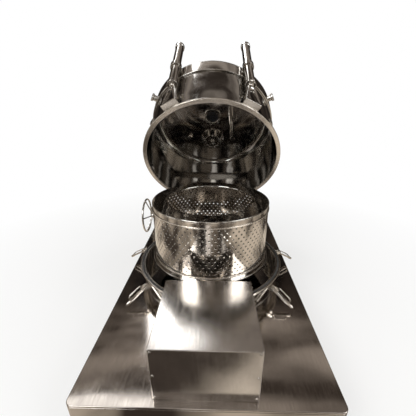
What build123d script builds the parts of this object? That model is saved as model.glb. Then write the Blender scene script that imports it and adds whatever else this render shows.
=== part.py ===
from build123d import *
import os
from math import cos, radians, sin, sqrt

# Screen centrifuge with a flip-open upper casing. Millimetres, +Z up.
# The origin is on the floor under the drum's axis, and the front faces -Y.

# Screen drum, which the rest is laid out around
drum_radius = 400.0
drum_wall_thickness = 8.0
drum_rise = 40.0
drum_height = 418.0
drum_floor_stand = 18.0
drum_floor_thickness = 18.0
drum_floor_edge = 4.0
lip_width = 104.0
lip_overhang = 2.0
lip_thickness = 14.0
hoop_width = 9.0
hoop_stand = 5.0
hoop_drop = 24.0
hoop_rise = 14.0
hole_radius = 5.5
hole_sides = 6
hole_columns = 35
hole_rows = 8
hole_bottom_margin = 30.5
hole_top_margin = 40.5
hub_foot_radius = 150.0
hub_foot_height = 10.0
hub_top_radius = 66.0
hub_height = 70.0
nut_radius = 38.0
nut_height = 34.0

# Spindle and its bearing housing
spindle_radius = 40.0
spindle_clearance = 0.05
spindle_end_gap = 6.0
housing_foot_radius = 190.0
housing_foot = 18.0
housing_shoulder_radius = 120.0
housing_shoulder = 30.0
housing_top_radius = 76.0
housing_top_band = 24.0
housing_drum_gap = 12.0

# Lower casing
casing_gap = 84.0
casing_wall_thickness = 6.0
casing_floor_thickness = 8.0
casing_height = 140.0
casing_rim_width = 27.0
casing_rim_thickness = 14.0
rim_chamfer = 3.0
gasket_start = 10.0
gasket_width = 12.0
gasket_height = 4.0
outlet_radius = 36.0
outlet_wall = 3.0
outlet_length = 120.0
outlet_flange_radius = 62.0
outlet_flange = 12.0
outlet_rise = 55.0

# Upper casing, which flips open on the hinge
lid_gap = 5.0
lid_open_angle = 58.0
lid_depth = 514.0
lid_knuckle = 40.0
lid_wall_thickness = 6.0
lid_rim_width = 24.0
lid_rim_thickness = 14.0
lid_plate = 8.0
collar_stand = 10.0
collar_bottom = 400.0
hinge_stand = 205.0
hinge_rise = 98.0
hinge_radius = 25.0
hinge_clearance = 0.05
arm_x = 190.0
arm_width = 44.0
arm_root = 80.0
arm_boss_radius = 56.0
arm_top = 330.0
arm_bottom = 26.0

# Motor and belt cover
cover_half_width = 235.0
cover_gap = 9.0
cover_depth = 439.0
cover_height = 302.0
cover_corner = 4.0

# Base
damper_height = 120.0
damper_radius = 82.0
damper_neck = 10.0
damper_flange_radius = 118.0
damper_flange = 16.0
damper_side_inset = 142.0
damper_front_inset = 180.0
damper_back_inset = 140.0
damper_bolts = 3
damper_bolt_circle = 198.0
damper_bolt_hole = 9.0
deck_side = 95.0
deck_apron = 35.0
deck_behind_hinge = 238.0
deck_frame_height = 168.0
deck_plate = 12.0
deck_corner = 30.0

# Hinge posts, gearbox and handwheel
post_spacing = 120.0
post_width = 50.0
post_boss_radius = 54.0
post_foot_half = 96.0
post_foot_height = 20.0
gearbox_gap = 43.0
gearbox_width = 142.0
gearbox_half_depth = 74.0
gearbox_above_hinge = 62.0
gearbox_foot_half = 96.0
gearbox_foot_height = 20.0
gearbox_socket = 24.0
input_drop = 88.0
input_radius = 12.0
input_socket = 20.0
boss_radius = 34.0
boss_length = 8.0
wheel_stand = 56.0
wheel_radius = 165.0
wheel_rim_radius = 10.0
wheel_dish = 62.0
wheel_hub_radius = 22.0
wheel_hub_length = 40.0
wheel_spokes = 5
wheel_spoke_radius = 6.5

# Toggle latches round the casing
latch_azimuths = {"front_left": 219.5, "front_right": 320.5, "side_left": 168.5, "side_right": 11.5}
latch_pivot_stand = 28.0
latch_pivot_drop = 36.0
latch_pin_radius = 5.0
latch_pin_clearance = 0.05
ear_gap = 22.0
ear_thickness = 8.0
ear_radius = 12.0
ear_length = 24.0
lever_droop = 30.0
lever_length = 148.0
lever_thickness = 8.0
lever_width = 22.0
lever_root_width = 14.0
lever_root_length = 34.0
grip_radius = 9.0
grip_length = 34.0
bail_reach = 16.0
bail_lift = 12.0
bail_length = 94.0
bail_half_width = 27.0
bail_radius = 4.0
strut_width = 12.0
strut_thickness = 10.0
strut_turn = 13.0
strut_drop = 58.0
lug_height = 44.0
lug_width = 30.0
lug_reach = 30.0
lug_chamfer = 8.0

# What stands on and in the upper casing
glass_y = -42.0
glass_radius = 60.0
glass_frame_width = 22.0
glass_frame_height = 16.0
glass_frame_inside = 10.0
glass_play = 0.1
cone_y = 190.0
cone_foot_radius = 104.0
cone_disc_radius = 72.0
cone_depth = 52.0
cone_nut_radius = 18.0
cone_nut_depth = 10.0
feed_x = 168.0
feed_y = 8.0
feed_radius = 19.0
feed_wall = 2.5
feed_inside = 230.0
feed_outside = 70.0
feed_flange_radius = 44.0
feed_flange = 10.0
knob_x = -205.0
knob_y = 165.0
knob_radius = 20.0
knob_depth = 34.0
fitting_azimuths = (208.0, 332.0)
fitting_rise = 470.0
fitting_radius = 22.0
fitting_reach = 42.0
fitting_cap_radius = 30.0
fitting_cap = 12.0

# Lock cylinders on the upper casing's front
cylinder_azimuths = (241.0, 299.0)
cylinder_stand_off = 40.0
cylinder_pin_rise = 190.0
cylinder_pin_radius = 7.0
cylinder_radius = 32.0
cylinder_head_radius = 37.0
cylinder_head = 26.0
cylinder_start = 236.0
cylinder_end = 826.0
cylinder_rod_radius = 12.0
cylinder_eye_radius = 18.0
cylinder_eye_width = 20.0
stand_foot_half = 58.0
stand_leg = 14.0
stand_leg_width = 24.0
stand_gap = 24.0
stand_foot_thickness = 14.0
clamp_rise = 470.0
clamp_height = 40.0
clamp_wall = 9.0
cylinder_seat_play = 0.1

# Radii and places worked out from the sizes above
drum_floor_radius = drum_radius + drum_floor_stand
lip_inner = drum_radius + lip_overhang - lip_width
casing_inner = drum_radius + casing_gap
casing_outer = casing_inner + casing_wall_thickness
casing_rim_outer = casing_outer + casing_rim_width
lid_outer = casing_inner + lid_wall_thickness
lid_rim_outer = lid_outer + lid_rim_width
collar_outer = lid_outer + collar_stand
latch_pivot_radius = casing_rim_outer + latch_pivot_stand
cylinder_axis_radius = collar_outer + cylinder_stand_off
hinge_y = casing_rim_outer + hinge_stand
cover_back = -casing_rim_outer - cover_gap
cover_front = cover_back - cover_depth
deck_half_width = casing_rim_outer + deck_side
deck_front = cover_front - deck_apron
deck_back = hinge_y + deck_behind_hinge
damper_x = deck_half_width - damper_side_inset
damper_front_y = deck_front + damper_front_inset
damper_back_y = deck_back - damper_back_inset
post_x = arm_x + post_spacing
gearbox_right = -post_x - post_width / 2 - gearbox_gap
gearbox_left = gearbox_right - gearbox_width
wheel_x = -deck_half_width - wheel_stand
wheel_hub_x = wheel_x + wheel_dish

# Levels worked out from the sizes above
deck_top = damper_height + deck_frame_height + deck_plate
rim_z = deck_top + casing_height
drum_bottom = rim_z + drum_rise
drum_top = drum_bottom + drum_height
drum_wall_bottom = drum_bottom + drum_floor_thickness
lip_bottom = drum_top - lip_thickness
hinge_z = rim_z + hinge_rise
input_z = hinge_z - input_drop
lid_bottom = rim_z + lid_gap
lid_rim_top = lid_bottom + lid_rim_thickness
lid_ceiling = rim_z + lid_depth
plate_bottom = lid_ceiling + lid_wall_thickness
plate_top = plate_bottom + lid_plate
housing_top = drum_bottom - housing_drum_gap
latch_pivot_z = rim_z - latch_pivot_drop

UPWARD = (Align.CENTER, Align.CENTER, Align.MIN)


def disc(radius, bottom, top):
    """An upright cylinder on the drum's axis between two heights."""
    return Pos(0, 0, bottom) * Cylinder(radius, top - bottom, align=UPWARD)


def ring(inner, outer, bottom, top):
    """An upright ring on the drum's axis between two heights."""
    return disc(outer, bottom, top) - disc(inner, bottom - 1, top + 1)


def turned(outline):
    """A solid turned about the drum's axis from (radius, height) points."""
    face = make_face(Plane.XZ * Polyline(*outline, close=True))
    return revolve(face, Axis.Z)


def rod(start, end, radius):
    """A round bar between two points."""
    along = Vector(*end) - Vector(*start)
    return Plane(origin=start, z_dir=along) * Cylinder(radius, along.length, align=UPWARD)


def block(low, high):
    """A box between two opposite corners."""
    size = [b - a for a, b in zip(low, high)]
    middle = [(a + b) / 2 for a, b in zip(low, high)]
    return Pos(*middle) * Box(*size)


def plate_across_x(outline, left, right):
    """A plate between two x values, cut to an outline of (y, z) points."""
    face = make_face(Plane.YZ * Polyline(*outline, close=True))
    return Pos(left, 0, 0) * extrude(face, right - left, dir=(1, 0, 0))


def opened(shape):
    """Turns a piece of the upper casing from shut to open about the hinge."""
    return Pos(0, hinge_y, hinge_z) * Rot(-lid_open_angle, 0, 0) * Pos(0, -hinge_y, -hinge_z) * shape


def damper(facing):
    """One turned damper with a bolted foot flange, whose first bolt faces the back (1) or the front (-1)."""
    foot_top = damper_flange
    neck = damper_height - damper_flange
    body = turned([
        (0, 0), (damper_flange_radius, 0), (damper_flange_radius, foot_top),
        (damper_radius, foot_top), (damper_radius, neck - damper_neck),
        (damper_radius * 0.82, neck), (damper_radius * 0.82, damper_height), (0, damper_height),
    ])
    for index in range(damper_bolts):
        angle = radians(facing * 90 + index * 360 / damper_bolts)
        spot = Pos(damper_bolt_circle / 2 * cos(angle), damper_bolt_circle / 2 * sin(angle), -1)
        body = body - spot * Cylinder(damper_bolt_hole, damper_flange + 2, align=UPWARD)
    return body


def damper_places():
    """The four (name, x, y, facing) places of the dampers."""
    return [
        ("damper_front_left", -damper_x, damper_front_y, -1),
        ("damper_front_right", damper_x, damper_front_y, -1),
        ("damper_back_left", -damper_x, damper_back_y, 1),
        ("damper_back_right", damper_x, damper_back_y, 1),
    ]


def deck_layer(bottom, top):
    """A layer of the base deck with rounded upright corners."""
    layer = block((-deck_half_width, deck_front, bottom), (deck_half_width, deck_back, top))
    return fillet(layer.edges().filter_by(Axis.Z), deck_corner)


def motor_cover():
    """The sheet metal cover over the motor and the belt."""
    cover = block((-cover_half_width, cover_front, deck_top),
                  (cover_half_width, cover_back, deck_top + cover_height))
    return chamfer(cover.edges().filter_by(Axis.Z), cover_corner)


def casing_floor():
    """The lower casing's floor, which the spindle housing is bolted to."""
    return disc(casing_outer, deck_top, deck_top + casing_floor_thickness)


def outlet_axis_z():
    """The height of the filtrate outlet's axis."""
    return deck_top + casing_floor_thickness + outlet_rise


def casing_wall():
    """The lower casing's wall with the filtrate outlet's opening at the back."""
    wall = ring(casing_inner, casing_outer, deck_top + casing_floor_thickness, rim_z - casing_rim_thickness)
    z = outlet_axis_z()
    reach = 2 * outlet_radius
    return wall - rod((0, casing_inner - reach, z), (0, casing_outer + reach, z), outlet_radius)


def filtrate_outlet():
    """The short outlet pipe behind the casing, saddled on its wall, with a flange."""
    z = outlet_axis_z()
    end = casing_outer + outlet_length
    pipe = rod((0, casing_inner, z), (0, end, z), outlet_radius + outlet_wall)
    flange = rod((0, end - outlet_flange, z), (0, end, z), outlet_flange_radius)
    bore = rod((0, casing_inner - outlet_radius, z), (0, end + 1, z), outlet_radius)
    saddle = disc(casing_outer, z - 2 * outlet_radius, z + 2 * outlet_radius)
    return pipe + flange - bore - saddle


def casing_rim():
    """The flat rim ring that the upper casing shuts on."""
    low = rim_z - casing_rim_thickness
    edge = rim_chamfer
    return turned([
        (casing_inner, low), (casing_rim_outer - edge, low), (casing_rim_outer, low + edge),
        (casing_rim_outer, rim_z - edge), (casing_rim_outer - edge, rim_z), (casing_inner, rim_z),
    ])


def rim_gasket():
    """The soft ring on the rim."""
    inner = casing_inner + gasket_start
    return ring(inner, inner + gasket_width, rim_z, rim_z + gasket_height)


def bearing_housing():
    """The turned housing that carries the drum's spindle."""
    foot_bottom = deck_top + casing_floor_thickness
    foot_top = foot_bottom + housing_foot
    bore = spindle_radius + spindle_clearance
    shoulder = foot_top + housing_shoulder
    return turned([
        (0, foot_bottom), (housing_foot_radius, foot_bottom), (housing_foot_radius, foot_top),
        (housing_shoulder_radius, foot_top), (housing_shoulder_radius, shoulder),
        (housing_top_radius, housing_top - housing_top_band), (housing_top_radius, housing_top),
        (bore, housing_top), (bore, foot_top), (0, foot_top),
    ])


def spindle():
    """The spindle, which runs in the bearing housing."""
    bottom = deck_top + casing_floor_thickness + housing_foot + spindle_end_gap
    return disc(spindle_radius, bottom, drum_bottom)


def drum_floor():
    """The drum's floor disc, which stands out past the wall as a ring."""
    edge = drum_floor_edge
    top = drum_wall_bottom
    return turned([
        (0, drum_bottom), (drum_floor_radius - edge, drum_bottom),
        (drum_floor_radius, drum_bottom + edge), (drum_floor_radius, top - edge),
        (drum_floor_radius - edge, top), (0, top),
    ])


def drum_wall():
    """The drum's screen wall, with staggered holes through it."""
    wall = ring(drum_radius - drum_wall_thickness, drum_radius, drum_wall_bottom, lip_bottom)
    low = drum_wall_bottom + hole_bottom_margin
    high = lip_bottom - hole_top_margin
    pitch = (high - low) / (hole_rows - 1)
    drill_length = drum_wall_thickness * 6
    drill = extrude(Plane.YZ * RegularPolygon(hole_radius, hole_sides), drill_length)
    drills = []
    for row in range(hole_rows):
        for column in range(hole_columns):
            turn = (column + (row % 2) / 2) * 360 / hole_columns
            place = Pos(drum_radius - drill_length / 2, 0, low + row * pitch)
            drills.append(Rot(0, 0, turn) * place * drill)
    return wall - drills


def drum_hoops():
    """The two thin hoops round the drum's wall."""
    outer = drum_radius + hoop_stand
    upper = lip_bottom - hoop_drop
    lower = drum_wall_bottom + hoop_rise
    return [
        ring(drum_radius, outer, upper - hoop_width, upper),
        ring(drum_radius, outer, lower, lower + hoop_width),
    ]


def drum_lip():
    """The wide polished lip that turns in over the drum's wall."""
    outer = drum_radius + lip_overhang
    return turned([
        (lip_inner + 4, lip_bottom), (outer - 3, lip_bottom), (outer, lip_bottom + 3),
        (outer, drum_top - 3), (outer - 3, drum_top), (lip_inner + 4, drum_top),
        (lip_inner, drum_top - 4), (lip_inner, lip_bottom + 4),
    ])


def drum_hub():
    """The cone that clamps the drum on its spindle."""
    bottom = drum_wall_bottom
    return turned([
        (0, bottom), (hub_foot_radius, bottom), (hub_foot_radius, bottom + hub_foot_height),
        (hub_top_radius, bottom + hub_height), (0, bottom + hub_height),
    ])


def hub_nut():
    """The six-sided nut on the hub."""
    bottom = drum_wall_bottom + hub_height
    return Pos(0, 0, bottom) * extrude(RegularPolygon(nut_radius, 6), nut_height)


def lid_wall():
    """The upper casing's wall with its rounded top edge."""
    inner = casing_inner
    bend_z = lid_ceiling - lid_knuckle
    bend_in = inner - lid_knuckle
    bend_out = lid_knuckle + lid_wall_thickness
    half = sqrt(0.5)
    profile = Polyline((bend_in, plate_bottom), (bend_in, lid_ceiling))
    profile += ThreePointArc((bend_in, lid_ceiling),
                             (bend_in + lid_knuckle * half, bend_z + lid_knuckle * half),
                             (inner, bend_z))
    profile += Polyline((inner, bend_z), (inner, lid_rim_top), (lid_outer, lid_rim_top), (lid_outer, bend_z))
    profile += ThreePointArc((lid_outer, bend_z),
                             (bend_in + bend_out * half, bend_z + bend_out * half),
                             (bend_in, plate_bottom))
    return revolve(make_face(Plane.XZ * profile), Axis.Z)


def lid_rim():
    """The upper casing's rim ring."""
    edge = rim_chamfer
    return turned([
        (casing_inner, lid_bottom), (lid_rim_outer - edge, lid_bottom), (lid_rim_outer, lid_bottom + edge),
        (lid_rim_outer, lid_rim_top - edge), (lid_rim_outer - edge, lid_rim_top), (casing_inner, lid_rim_top),
    ])


def lid_top():
    """The upper casing's top plate with its sight glass and feed pipe openings."""
    plate = disc(collar_outer, plate_bottom, plate_top)
    glass = Pos(0, glass_y, 0) * disc(glass_radius, plate_bottom - 1, plate_top + 1)
    feed = Pos(feed_x, feed_y, 0) * disc(feed_radius, plate_bottom - 1, plate_top + 1)
    return plate - glass - feed


def lid_collar():
    """The stiffening band under the top plate."""
    return ring(lid_outer, collar_outer, rim_z + collar_bottom, plate_bottom)


def hinge_arm(x):
    """One arm from the upper casing's back to the hinge shaft."""
    low = rim_z + arm_bottom
    high = rim_z + arm_top
    boss = arm_boss_radius
    outline = [
        (casing_inner - arm_root, low), (casing_inner - arm_root, high), (collar_outer, high),
        (hinge_y + boss * 0.5, hinge_z + boss * 0.85), (hinge_y, hinge_z - boss * 0.98),
    ]
    left, right = x - arm_width / 2, x + arm_width / 2
    arm = plate_across_x(outline, left, right)
    arm += rod((left, hinge_y, hinge_z), (right, hinge_y, hinge_z), boss)
    arm -= rod((left - 1, hinge_y, hinge_z), (right + 1, hinge_y, hinge_z), hinge_radius + hinge_clearance)
    return arm - disc(lid_outer, low - 10, high + 10)


def hinge_shaft():
    """The shaft through arms, posts and gearbox, which turns with the upper casing."""
    left = gearbox_right - gearbox_socket + 2
    right = post_x + post_width / 2 + 6
    return rod((left, hinge_y, hinge_z), (right, hinge_y, hinge_z), hinge_radius)


def hinge_post(x):
    """One post that carries the hinge shaft over the deck."""
    half = post_foot_half
    foot_top = deck_top + post_foot_height
    boss = post_boss_radius
    outline = [
        (hinge_y - half, deck_top), (hinge_y - half, foot_top), (hinge_y - boss * 0.97, hinge_z),
        (hinge_y + boss * 0.97, hinge_z), (hinge_y + half, foot_top), (hinge_y + half, deck_top),
    ]
    left, right = x - post_width / 2, x + post_width / 2
    post = plate_across_x(outline, left, right)
    post += rod((left, hinge_y, hinge_z), (right, hinge_y, hinge_z), boss)
    return post - rod((left - 1, hinge_y, hinge_z), (right + 1, hinge_y, hinge_z), hinge_radius + hinge_clearance)


def gearbox():
    """The worm gearbox on its foot, with a boss for each shaft."""
    foot_top = deck_top + gearbox_foot_height
    half = gearbox_half_depth
    top = hinge_z + gearbox_above_hinge
    foot = block((gearbox_left, hinge_y - gearbox_foot_half, deck_top),
                 (gearbox_right, hinge_y + gearbox_foot_half, foot_top))
    body = block((gearbox_left + 10, hinge_y - half, foot_top), (gearbox_right, hinge_y + half, top))
    body = fillet(body.edges().filter_by(Axis.X).group_by(Axis.Z)[-1], 40)
    box = foot + body
    box += rod((gearbox_left - boss_length, hinge_y, input_z), (gearbox_left + 12, hinge_y, input_z), boss_radius)
    box -= rod((gearbox_left - boss_length - 1, hinge_y, input_z),
               (gearbox_left + input_socket, hinge_y, input_z), input_radius + hinge_clearance)
    return box - rod((gearbox_right - gearbox_socket, hinge_y, hinge_z),
                     (gearbox_right + 1, hinge_y, hinge_z), hinge_radius + hinge_clearance)


def handwheel():
    """The dished handwheel with its shaft into the gearbox."""
    rim_face = Plane.XZ * Pos(wheel_radius, 0) * RegularPolygon(wheel_rim_radius, 6)
    rim = Pos(wheel_x, hinge_y, input_z) * Rot(0, 90, 0) * revolve(rim_face, Axis.Z)
    left = wheel_hub_x - wheel_hub_length / 2
    right = wheel_hub_x + wheel_hub_length / 2
    hub = rod((left, hinge_y, input_z), (right, hinge_y, input_z), wheel_hub_radius)
    shaft = rod((left, hinge_y, input_z), (gearbox_left + input_socket - 2, hinge_y, input_z), input_radius)
    wheel = hub + shaft + rim
    for index in range(wheel_spokes):
        angle = radians(170 + index * 360 / wheel_spokes)
        dy, dz = cos(angle), sin(angle)
        inner = (wheel_hub_x, hinge_y + 8 * dy, input_z + 8 * dz)
        outer = (wheel_x, hinge_y + wheel_radius * dy, input_z + wheel_radius * dz)
        wheel += rod(inner, outer, wheel_spoke_radius)
    return wheel


def latch_bracket():
    """One latch bracket under the rim, at azimuth 0, with two ears and a strut."""
    z = latch_pivot_z
    half = ear_gap / 2 + ear_thickness
    back = casing_outer - 12
    ear_start = latch_pivot_radius - ear_length
    base = block((back, -half, z - ear_radius), (ear_start, half, z + ear_radius - 2))
    ears = block((ear_start - 1, -half, z - ear_radius), (latch_pivot_radius, half, z + ear_radius - 2))
    ears += rod((latch_pivot_radius, -half, z), (latch_pivot_radius, half, z), ear_radius)
    slot = block((ear_start, -ear_gap / 2, z - 2 * ear_radius),
                 (latch_pivot_radius + 2 * ear_radius, ear_gap / 2, z + 2 * ear_radius))
    pin_hole = latch_pin_radius + latch_pin_clearance
    bore = rod((latch_pivot_radius, -half - 1, z), (latch_pivot_radius, half + 1, z), pin_hole)
    bracket = base + ears - slot - bore
    return bracket - disc(casing_outer, z - 2 * ear_radius, z + 2 * ear_radius)


def bracket_strut(side):
    """The short stay from a bracket down along the casing wall, towards one side."""
    z = latch_pivot_z
    half = ear_gap / 2 + ear_thickness
    reach = casing_outer + strut_thickness / 2 + 4
    turn = radians(side * strut_turn)
    start = (reach, side * (half - 4), z - 2)
    end = (reach * cos(turn), reach * sin(turn), z - strut_drop)
    stay = rod(start, end, strut_width / 2)
    return stay - disc(casing_outer, z - 2 * strut_drop, z + strut_drop)


def lever():
    """One latch lever at azimuth 0, lying along +X from its pivot, before it droops."""
    tip = lever_length
    root = block((-8, -lever_root_width / 2, -lever_thickness / 2 - 2),
                 (lever_root_length, lever_root_width / 2, lever_thickness / 2 + 2))
    bar = block((lever_root_length - 4, -lever_width / 2, -lever_thickness / 2),
                (tip - grip_length + 6, lever_width / 2, lever_thickness / 2))
    grip = rod((tip - grip_length, 0, 0), (tip, 0, 0), grip_radius)
    half = ear_gap / 2 + ear_thickness
    pin = rod((0, -half - 2, 0), (0, half + 2, 0), latch_pin_radius)
    knee = block((bail_reach - 7, -lever_root_width / 2, 0),
                 (bail_reach + 7, lever_root_width / 2, bail_lift + 7))
    eye = rod((bail_reach, -lever_root_width, bail_lift), (bail_reach, lever_root_width, bail_lift),
              bail_radius + latch_pin_clearance)
    return root + bar + grip + pin + knee - eye


def bail():
    """One latch bail, a bent rod loop that turns in the lever's knee."""
    half = bail_half_width
    r = bail_radius
    ends = [(bail_reach, y, bail_lift) for y in (-half, half)]
    tips = [(bail_reach + bail_length, y, bail_lift) for y in (-half, half)]
    loop = rod((bail_reach, -half - r, bail_lift), (bail_reach, half + r, bail_lift), r)
    loop += rod(ends[0], tips[0], r)
    loop += rod(ends[1], tips[1], r)
    loop += rod((tips[0][0], -half - r, bail_lift), (tips[1][0], half + r, bail_lift), r)
    return loop


def at_latch(azimuth, shape):
    """Puts a lever or bail on its bracket's pin, drooping at rest."""
    place = Rot(0, 0, azimuth) * Pos(latch_pivot_radius, 0, latch_pivot_z) * Rot(0, lever_droop, 0)
    return place * shape


def lid_lugs():
    """The blocks on the upper casing that the bails hook over."""
    lugs = []
    for azimuth in latch_azimuths.values():
        lug = block((lid_outer - 12, -lug_width / 2, lid_rim_top),
                    (lid_outer + lug_reach, lug_width / 2, lid_rim_top + lug_height))
        lug = chamfer(lug.edges().group_by(Axis.Z)[-1].group_by(Axis.X)[-1], lug_chamfer)
        lugs.append(Rot(0, 0, azimuth) * (lug - disc(lid_outer, lid_rim_top - 1, lid_rim_top + lug_height + 1)))
    return lugs


def sight_frame():
    """The rings that hold the sight glass, above and below the top plate."""
    outer = glass_radius + glass_frame_width
    upper = ring(glass_radius - 8, outer, plate_top, plate_top + glass_frame_height)
    lower = ring(glass_radius - 8, outer - 4, plate_bottom - glass_frame_inside, plate_bottom)
    return [Pos(0, glass_y, 0) * upper, Pos(0, glass_y, 0) * lower]


def sight_glass():
    """The round pane in the top plate."""
    return Pos(0, glass_y, 0) * disc(glass_radius - glass_play, plate_bottom, plate_top)


def wash_cone():
    """The truncated cone with its disc and centre nut inside the top plate."""
    bottom = plate_bottom - cone_depth
    cone = turned([
        (0, plate_bottom), (cone_foot_radius, plate_bottom), (cone_foot_radius, plate_bottom - 8),
        (cone_disc_radius, bottom), (cone_nut_radius, bottom),
        (cone_nut_radius, bottom - cone_nut_depth), (0, bottom - cone_nut_depth),
    ])
    return Pos(0, cone_y, 0) * cone


def feed_pipe():
    """The feed pipe through the top plate, with a flange above it."""
    bottom = plate_bottom - feed_inside
    top = plate_top + feed_outside
    pipe = disc(feed_radius, bottom, top) + disc(feed_flange_radius, top - feed_flange, top)
    pipe -= disc(feed_radius - feed_wall, bottom - 1, top + 1)
    return Pos(feed_x, feed_y, 0) * pipe


def wash_knob():
    """The small wash nozzle inside the top plate."""
    return Pos(knob_x, knob_y, 0) * disc(knob_radius, plate_bottom - knob_depth, plate_bottom)


def lid_fittings():
    """The two capped nozzles on the upper casing's shoulders."""
    fittings = []
    for azimuth in fitting_azimuths:
        z = rim_z + fitting_rise
        stub = rod((collar_outer - 6, 0, z), (collar_outer + fitting_reach, 0, z), fitting_radius)
        cap_start = collar_outer + fitting_reach - fitting_cap
        stub += rod((cap_start, 0, z), (collar_outer + fitting_reach, 0, z), fitting_cap_radius)
        fittings.append(Rot(0, 0, azimuth) * (stub - disc(collar_outer, z - 60, z + 60)))
    return fittings


def lock_cylinder():
    """One lock cylinder at azimuth 0, from its eye to its rear cap."""
    x = cylinder_axis_radius
    pin_z = rim_z + cylinder_pin_rise
    start = rim_z + cylinder_start
    end = rim_z + cylinder_end
    half = cylinder_eye_width / 2
    eye = rod((x, -half, pin_z), (x, half, pin_z), cylinder_eye_radius)
    eye -= rod((x, -half - 1, pin_z), (x, half + 1, pin_z), cylinder_pin_radius + cylinder_seat_play)
    body = rod((x, 0, pin_z + cylinder_eye_radius - 4), (x, 0, start), cylinder_rod_radius)
    body += rod((x, 0, start), (x, 0, start + cylinder_head), cylinder_head_radius)
    body += rod((x, 0, start), (x, 0, end), cylinder_radius)
    body += rod((x, 0, end - cylinder_head), (x, 0, end), cylinder_head_radius)
    return eye + body


def cylinder_stand():
    """The two legs and the clevis pin that carry a lock cylinder on the rim."""
    x = cylinder_axis_radius
    pin_z = rim_z + cylinder_pin_rise
    foot_top = lid_bottom + stand_foot_thickness
    half = stand_leg_width / 2
    foot = block((lid_rim_outer - 30, -stand_foot_half, lid_rim_top),
                 (x + half, stand_foot_half, lid_rim_top + stand_foot_thickness))
    foot -= disc(lid_outer + 1, lid_rim_top - 1, lid_rim_top + stand_foot_thickness + 1)
    stand = foot
    for side in (-1, 1):
        low = side * (stand_foot_half - stand_leg)
        high = side * (stand_gap / 2)
        outline = [
            (low, foot_top), (low + side * stand_leg, foot_top),
            (high + side * stand_leg, pin_z + 14), (high, pin_z + 14), (high, pin_z - 20),
        ]
        face = make_face(Plane.YZ * Polyline(*outline, close=True))
        stand += Pos(x - half, 0, 0) * extrude(face, 2 * half, dir=(1, 0, 0))
    reach = stand_gap / 2 + stand_leg + 6
    return stand + rod((x, -reach, pin_z), (x, reach, pin_z), cylinder_pin_radius)


def cylinder_clamp():
    """The clamp ring that ties a lock cylinder to the collar."""
    x = cylinder_axis_radius
    low = rim_z + clamp_rise
    high = low + clamp_height
    outer = cylinder_radius + clamp_wall
    clamp = Pos(x, 0, low) * Cylinder(outer, clamp_height, align=UPWARD)
    clamp += block((collar_outer - 12, -outer * 0.6, low), (x, outer * 0.6, high))
    clamp -= Pos(x, 0, low - 1) * Cylinder(cylinder_radius + cylinder_seat_play, clamp_height + 2, align=UPWARD)
    return clamp - disc(collar_outer, low - 1, high + 1)


def build_parts():
    """Every node by name."""
    parts = {}
    for name, x, y, facing in damper_places():
        parts[name] = Pos(x, y, 0) * damper(facing)
    parts["deck_frame"] = deck_layer(damper_height, deck_top - deck_plate)
    parts["deck_plate"] = deck_layer(deck_top - deck_plate, deck_top)
    parts["motor_cover"] = motor_cover()
    parts["casing_floor"] = casing_floor()
    parts["casing_wall"] = casing_wall()
    parts["casing_rim"] = casing_rim()
    parts["rim_gasket"] = rim_gasket()
    parts["filtrate_outlet"] = filtrate_outlet()
    parts["bearing_housing"] = bearing_housing()
    parts["hinge_post_left"] = hinge_post(-post_x)
    parts["hinge_post_right"] = hinge_post(post_x)
    parts["gearbox"] = gearbox()
    parts["handwheel"] = handwheel()

    parts["spindle"] = spindle()
    parts["drum_floor"] = drum_floor()
    parts["drum_wall"] = drum_wall()
    parts["drum_hoops"] = Compound(drum_hoops())
    parts["drum_lip"] = drum_lip()
    parts["drum_hub"] = drum_hub()
    parts["hub_nut"] = hub_nut()

    parts["lid_wall"] = opened(lid_wall())
    parts["lid_rim"] = opened(lid_rim())
    parts["lid_top"] = opened(lid_top())
    parts["lid_collar"] = opened(lid_collar())
    parts["hinge_arm_left"] = opened(hinge_arm(-arm_x))
    parts["hinge_arm_right"] = opened(hinge_arm(arm_x))
    parts["hinge_shaft"] = hinge_shaft()
    parts["lid_lugs"] = Compound([opened(lug) for lug in lid_lugs()])
    parts["sight_frame"] = Compound([opened(piece) for piece in sight_frame()])
    parts["sight_glass"] = opened(sight_glass())
    parts["wash_cone"] = opened(wash_cone())
    parts["wash_knob"] = opened(wash_knob())
    parts["feed_pipe"] = opened(feed_pipe())
    parts["lid_fittings"] = Compound([opened(piece) for piece in lid_fittings()])
    for side, azimuth in zip(("left", "right"), cylinder_azimuths):
        turn = Rot(0, 0, azimuth)
        parts[f"lock_cylinder_{side}"] = opened(turn * lock_cylinder())
        parts[f"cylinder_stand_{side}"] = opened(turn * cylinder_stand())
        parts[f"cylinder_clamp_{side}"] = opened(turn * cylinder_clamp())

    for name, azimuth in latch_azimuths.items():
        turn = Rot(0, 0, azimuth)
        bracket = latch_bracket()
        if name.startswith("front"):
            bracket += bracket_strut(1 if name.endswith("left") else -1)
        parts[f"latch_bracket_{name}"] = turn * bracket
        parts[f"latch_lever_{name}"] = at_latch(azimuth, lever())
        parts[f"latch_bail_{name}"] = at_latch(azimuth, bail())
    return parts


os.makedirs("parts", exist_ok=True)
for node, shape in build_parts().items():
    export_step(shape, f"parts/{node}.step")
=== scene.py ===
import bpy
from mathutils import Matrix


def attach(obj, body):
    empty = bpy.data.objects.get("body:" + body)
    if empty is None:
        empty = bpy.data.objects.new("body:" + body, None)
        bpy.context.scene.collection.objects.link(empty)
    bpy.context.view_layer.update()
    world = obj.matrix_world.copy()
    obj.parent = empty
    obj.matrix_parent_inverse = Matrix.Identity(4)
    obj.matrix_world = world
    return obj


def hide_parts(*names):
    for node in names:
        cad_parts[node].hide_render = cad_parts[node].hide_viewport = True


bl_info = {
    "name": "Screen Centrifuge",
    "version": (1, 0, 0),
    "blender": (4, 5, 0),
    "location": "View3D > Sidebar > Centrifuge",
    "description": "Dresses a plate screen centrifuge with a flip-open upper casing",
    "category": "Object",
}

from math import pi, radians

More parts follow.
